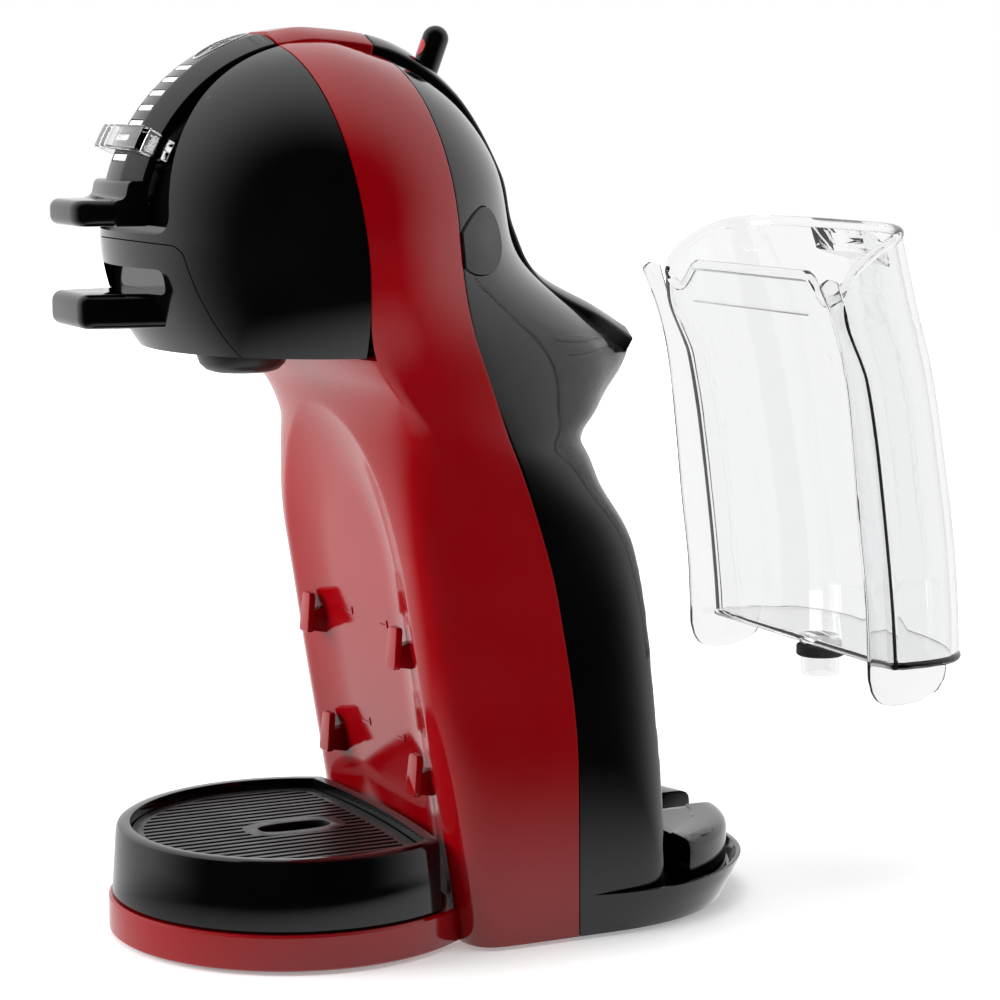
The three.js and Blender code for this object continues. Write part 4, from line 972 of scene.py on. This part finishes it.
def back_edge(radius, y, bulge):
    """A round outline cut off at y, with a back that bulges."""
    half = sqrt(radius**2 - y**2)
    start = degrees(atan2(y, half))
    arc = circle(0, 0, radius, 120, 180 - start, 180 + 2 * start)
    return np.vstack([arc, bezier(arc[-1], (0.0, y + bulge), arc[0], np.linspace(0, 1, 30)[1:-1])])


tray_profile = [(61.8, 13.6), (62.5, 14.4), (61.0, 35.4), (60.4, 36.7), (59.4, 37.3), (0.02, 37.3)]
tray = turned("drip_tray_cup", 0, 0, tray_profile, 200)
keep(tray, prism("tray_back", "z", back_edge(63.5, 30.5, 7), 12, 40))
cut(
    tray,
    prism("tray_inside", "z", back_edge(53.6, 24.5, 6), 16, 40),
    prism("tray_ledge", "z", back_edge(56.2, 27.3, 6.4), 30.9, 40),
)
finish_piece(soften(tray, 0.6, 3, 40), "tray", "gloss_black", "drip_tray")

grille = prism("drip_grille_plate", "z", back_edge(55.6, 26.7, 6.2), 31.2, 33.8)
slit_x = [(k - 11) * 4.4 for k in range(23)]
slits = join(*[block(f"slit_{k}", x - 1.15, x + 1.15, -70, 50, 25, 40) for k, x in enumerate(slit_x)])
keep(slits, prism("field", "z", back_edge(51.6, 22.5, 5), 24, 41))


def racetrack(grow):
    """The cup hole's outline, longer from front to back."""
    t = np.linspace(0, 2 * np.pi, 96, endpoint=False)
    c, s = np.cos(t), np.sin(t)
    x = (5.6 + grow) * np.sign(c) * np.abs(c) ** 0.72
    return np.stack([x, (13 + grow) * np.sign(s) * np.abs(s) ** 0.8], 1)


cut(slits, prism("ring_keep", "z", racetrack(5), 20, 45))
cut(grille, slits, prism("hole", "z", racetrack(0), 20, 45))
rib = block("grille_rib", -50, 50, -1.0, 1.0, 31.0, 32.2)
keep(rib, prism("rib_field", "z", back_edge(53, 24, 5), 24, 41))
cut(rib, prism("rib_hole", "z", racetrack(1), 20, 45))
finish_piece(soften(grille, 0.3, 2, 40), "grille", "satin_black", "drip_grille")
finish_piece(rib, "grille", "satin_black")

# ---- water tank
OFF_Y, OFF_Z = 78.0, 53.5
tank_front = through([(0, 126.4), (30, 124.8), (90, 118), (131, 110.8), (155, 101.4), (166, 100.8)])
tank_back = through([(14, 166.5), (34, 168), (60, 166.5), (100, 160.5), (142, 152), (170, 143), (190, 136)])
rim_height = through([(99, 166), (104, 168.5), (118, 177), (137, 182.6), (170, 184)])


def tank_loop(z, inset):
    """The vessel's D-shaped outline at height z, evenly spaced, starting at the front's middle."""
    middle = tank_front(z) + 6
    reach = tank_back(z) - middle - inset
    half = 64 - inset
    power = 2 / 3.1
    a = np.linspace(0, pi / 2, 200)
    side = np.stack([half * np.cos(a) ** power, middle + reach * np.sin(a) ** power], 1)
    front = tank_front(z) + inset
    bend = 3.0
    turn = np.linspace(0, pi / 2, 8)
    path = [(0.0, front)]
    path += [(half - bend + bend * sin(t), front + bend - bend * cos(t)) for t in turn]
    line = even(np.vstack([path, side]), 76)
    return np.vstack([line, mirror(line[1:-1])])


def rim_top(x, y):
    """Height of the vessel's rim: a level front band, scoops at its ends, then up to the rear."""
    if y < tank_front(160) + 3.5:
        edge = abs(x)
        if edge < 40:
            return 167.0
        return 167.0 - 9.0 * sin(pi * min(1.0, (edge - 40) / 24.0))
    return rim_height(y)


def vessel(inset, low):
    """The grid of one of the vessel's two faces, from height low up to the rim."""
    rows = 90
    tops = np.array([rim_top(x, y) for x, y in tank_loop(166, inset)])
    heights = low + (tops - low) * (np.arange(rows) / (rows - 1))[:, None]
    nearest = np.round(heights * 2) / 2  # outlines are worked out every half millimetre
    loops = {z: tank_loop(z, inset) for z in np.unique(nearest)}
    flat = [[loops[z][j] for j, z in enumerate(row)] for row in nearest]
    return np.concatenate([flat, heights[:, :, None]], axis=2)


outer = vessel(0.0, 28.4)
inner = vessel(2.2, 30.8)[::-1]
tank = loft("water_tank_vessel", np.concatenate([outer, inner]))
wing = [(wing_seat(z) + 0.6, z) for z in np.linspace(26, 160, 30)]
wing += [(91.5, 165), (95, 167.2), (99, 166)]
wing += [(tank_front(z) + 1.2, z) for z in np.linspace(155, 32, 24)]
wing += [(127, 30), (147, 29.5), (146.2, 24), (143, 19.5), (137, 16.6)]
wing += [(130, 15.7), (124, 15.6), (118.5, 17.2), (115.6, 21)]
wing = even(np.vstack([wing, wing[:1]]), 160)[:-1]
for side_ in (-1, 1):
    low_, high_ = sorted((side_ * 61.8, side_ * 64.0))
    join(tank, soften(prism(f"tank_wing_{side_ + 2}", "x", wing, low_, high_), 0.6, 3, 50))


def bead(name, path, radius):
    """A round bead along a closed loop of points."""
    p = np.asarray(path, float)
    along = np.roll(p, -1, axis=0) - np.roll(p, 1, axis=0)
    along /= np.linalg.norm(along, axis=1)[:, None]
    out = np.cross(along, [0.0, 0.0, 1.0])
    out /= np.linalg.norm(out, axis=1)[:, None]
    up = np.cross(out, along)
    sides, count = 12, len(p)
    angles = np.linspace(0, 2 * pi, sides, endpoint=False)
    points = np.stack([p + radius * (cos(a) * out + sin(a) * up) for a in angles]).reshape(-1, 3)
    faces = np.array(grid_faces(sides + 1, count, wrap=True)) % len(points)
    return face_outwards(new_object(name, points, faces))


join(tank, bead("tank_rim", (outer[-1] + inner[0]) / 2, 1.9))
foot = tank_loop(29.6, 0.3)
join(tank, bead("tank_foot", np.column_stack([foot, np.full(len(foot), 29.6)]), 1.2))
tab_side = [(137, 183), (154, 176), (158.5, 170.6), (156.5, 168.6), (141, 173.6)]
tab = prism("tank_tab", "x", rounded(tab_side, [1, 6, 1.2, 1.2, 1]), -17, 17)
join(tank, soften(tab, 0.8, 3, 40))
join(tank, rod("tank_tube", "z", (0, INLET_Y), 15.6, 29.5, 7.2))
cut(tank, rod("tank_bore", "z", (0, INLET_Y), 10, 34, 5.5))
for v_ in tank.data.vertices:
    v_.co.y += OFF_Y / 1000
    v_.co.z += OFF_Z / 1000
finish_piece(tank, "tank", "clear_plastic", "water_tank", angle=35)

# level band and dark seal
for k_, (z0_, z1_) in enumerate(((153.0, 153.5), (165.0, 165.5))):
    line_ = prism(f"level_line_{k_ + 1}", "y", [(-40, z0_), (40, z0_), (40, z1_), (-40, z1_)], -0.3, 0.3)
    for v_ in line_.data.vertices:
        z_mm = v_.co.z * 1000
        v_.co.y += (tank_front(z_mm) - 0.35 + OFF_Y) / 1000
        v_.co.z += OFF_Z / 1000
    finish_piece(line_, "tank", "clear_plastic", material=PALE_MARK)
seal_profile = [(7.5, 76.3), (8.6, 76.1), (9.0, 76.6), (9.0, 79.6), (8.6, 80.1), (7.5, 80.1)]
seal = turned("tank_seal_ring", 0, INLET_Y + OFF_Y, seal_profile, 64)
cut(seal, rod("seal_hole", "z", (0, INLET_Y + OFF_Y), 70, 90, 7.45))
finish_piece(seal, "tank", "rubber", "tank_seal")

# ---- small CAD nodes kept as they are
slots = {p["node"]: p["material_slot"] for p in frame["record"]["subparts"]}
for name_, obj_ in frame["nodes"].items():
    if obj_.hide_render:
        continue
    obj_.data.materials.clear()
    obj_.data.materials.append(M[slots[name_]])

# ---- camera, light, floor
def look(obj, place, target):
    """Puts a camera or a light at place, aimed at target."""
    obj.location = place
    obj.rotation_euler = (Vector(target) - Vector(place)).to_track_quat("-Z", "Y").to_euler()


camera_data = bpy.data.cameras.new("camera")
camera_data.lens = 104.4
camera_data.sensor_width = 36.0
camera = in_scene("camera", camera_data)
eye = Vector(put([(907.2, -362.1, 281.8)])[0])
aim = Vector(put([(0.0, 78.8, 142.4)])[0])
look(camera, eye, aim)
camera_data.clip_start = 0.05
bpy.context.scene.camera = camera


def area_light(name, place, target, size, power):
    """A square soft light aimed at target."""
    data = bpy.data.lights.new(name, "AREA")
    data.size = size
    data.energy = power
    lamp = in_scene(name, data)
    look(lamp, place, target)
    lamp.visible_glossy = False


area_light("key_front_left", (-0.5, -1.5, 0.7), (0, 0, 0.15), 1.0, 30)
area_light("top_soft", (0.0, 0.1, 1.5), (0, 0, 0.1), 1.2, 14)
area_light("side_fill", (1.6, 0.3, 0.6), (0, 0, 0.15), 1.2, 1.5)


def soft_step(tree, value, low, high, start=0.0, end=1.0):
    """A smooth change from start to end while a value goes from low to high."""
    values = {"From Min": low, "From Max": high, "To Min": start, "To Max": end}
    return node(tree, "MapRange", values, {"Value": value}, interpolation_type="SMOOTHSTEP").outputs["Result"]


def larger(tree, first, second):
    """The larger of two sockets."""
    return node(tree, "Math", {}, {0: first, 1: second}, operation="MAXIMUM").outputs["Value"]


def vector_maths(tree, operation, value, output, direction=(0, 0, 0)):
    """One output of a vector maths node."""
    return node(tree, "VectorMath", {1: direction}, {0: value}, operation=operation).outputs[output]


# A white room with one dark side: black gloss stays black where it faces the dark.
DARK_EDGE, BRIGHT_EDGE = 0.66, -0.2  # cosines from the dark side's middle
CLEAR_VIEW = 0.9  # how bright the room is through the clear plastic
world = bpy.data.worlds.new("studio")
bpy.context.scene.world = world
world.use_nodes = True
room = world.node_tree
dark_side = (eye - Vector((0, 0, 0.15))).normalized()
way = node(room, "TexCoord").outputs["Generated"]
ray = node(room, "LightPath")
wall = soft_step(room, vector_maths(room, "DOT_PRODUCT", way, "Value", dark_side), DARK_EDGE, BRIGHT_EDGE)
refracted = ray.outputs["Is Transmission Ray"]
through_clear = node(room, "Math", {1: CLEAR_VIEW}, {0: refracted}, operation="MULTIPLY").outputs["Value"]
brightest = larger(room, larger(room, wall, ray.outputs["Is Camera Ray"]), through_clear)
room.links.new(brightest, room.nodes["Background"].inputs["Strength"])
room.nodes["Background"].inputs["Color"].default_value = (1, 1, 1, 1)
bpy.context.scene.view_settings.view_transform = "Standard"

floor_mesh = bpy.data.meshes.new("floor")
floor_mesh.from_pydata([(-4, -4, 0), (4, -4, 0), (4, 4, 0), (-4, 4, 0)], [], [(0, 1, 2, 3)])
floor = in_scene("floor", floor_mesh)
floor_material, floor_bsdf, floor_tree = shader("floor_pale", (0.9, 0.9, 0.9), 0.6)
vary(floor_tree, noise(floor_tree, 8.0), 0.5, 0.65, floor_bsdf.inputs["Roughness"])
floor_bsdf.inputs["Emission Color"].default_value = (1, 1, 1, 1)
mirrored = node(floor_tree, "LightPath")
spot = node(floor_tree, "TexCoord").outputs["Object"]
distance = vector_maths(floor_tree, "LENGTH", spot, "Value")
# the floor brightens away from the object, so its far edge meets the white backdrop
glow = soft_step(floor_tree, distance, 0.25, 1.6, 0.3, 1.1)
floor_tree.links.new(glow, floor_bsdf.inputs["Emission Strength"])
# mirrored and refracted rays see a pool instead: bright close by, and away from the dark side
outwards = vector_maths(floor_tree, "NORMALIZE", spot, "Vector")
dark_way = Vector((dark_side.x, dark_side.y, 0)).normalized()
towards_dark = vector_maths(floor_tree, "DOT_PRODUCT", outwards, "Value", dark_way)
round_about = soft_step(floor_tree, towards_dark, DARK_EDGE, BRIGHT_EDGE)
close_by = soft_step(floor_tree, distance, 0.1, 0.33, 1.0, 0.0)
bent = mirrored.outputs["Is Transmission Ray"]
shine = larger(floor_tree, larger(floor_tree, round_about, close_by), bent)
pool = node(floor_tree, "Emission", {}, {"Strength": shine}).outputs[0]
pool_rays = larger(floor_tree, mirrored.outputs["Is Glossy Ray"], bent)
choice = node(floor_tree, "MixShader", {}, {0: pool_rays, 1: floor_bsdf.outputs[0], 2: pool})
floor_tree.links.new(choice.outputs[0], floor_tree.nodes["Material Output"].inputs["Surface"])
floor_mesh.materials.append(floor_material)
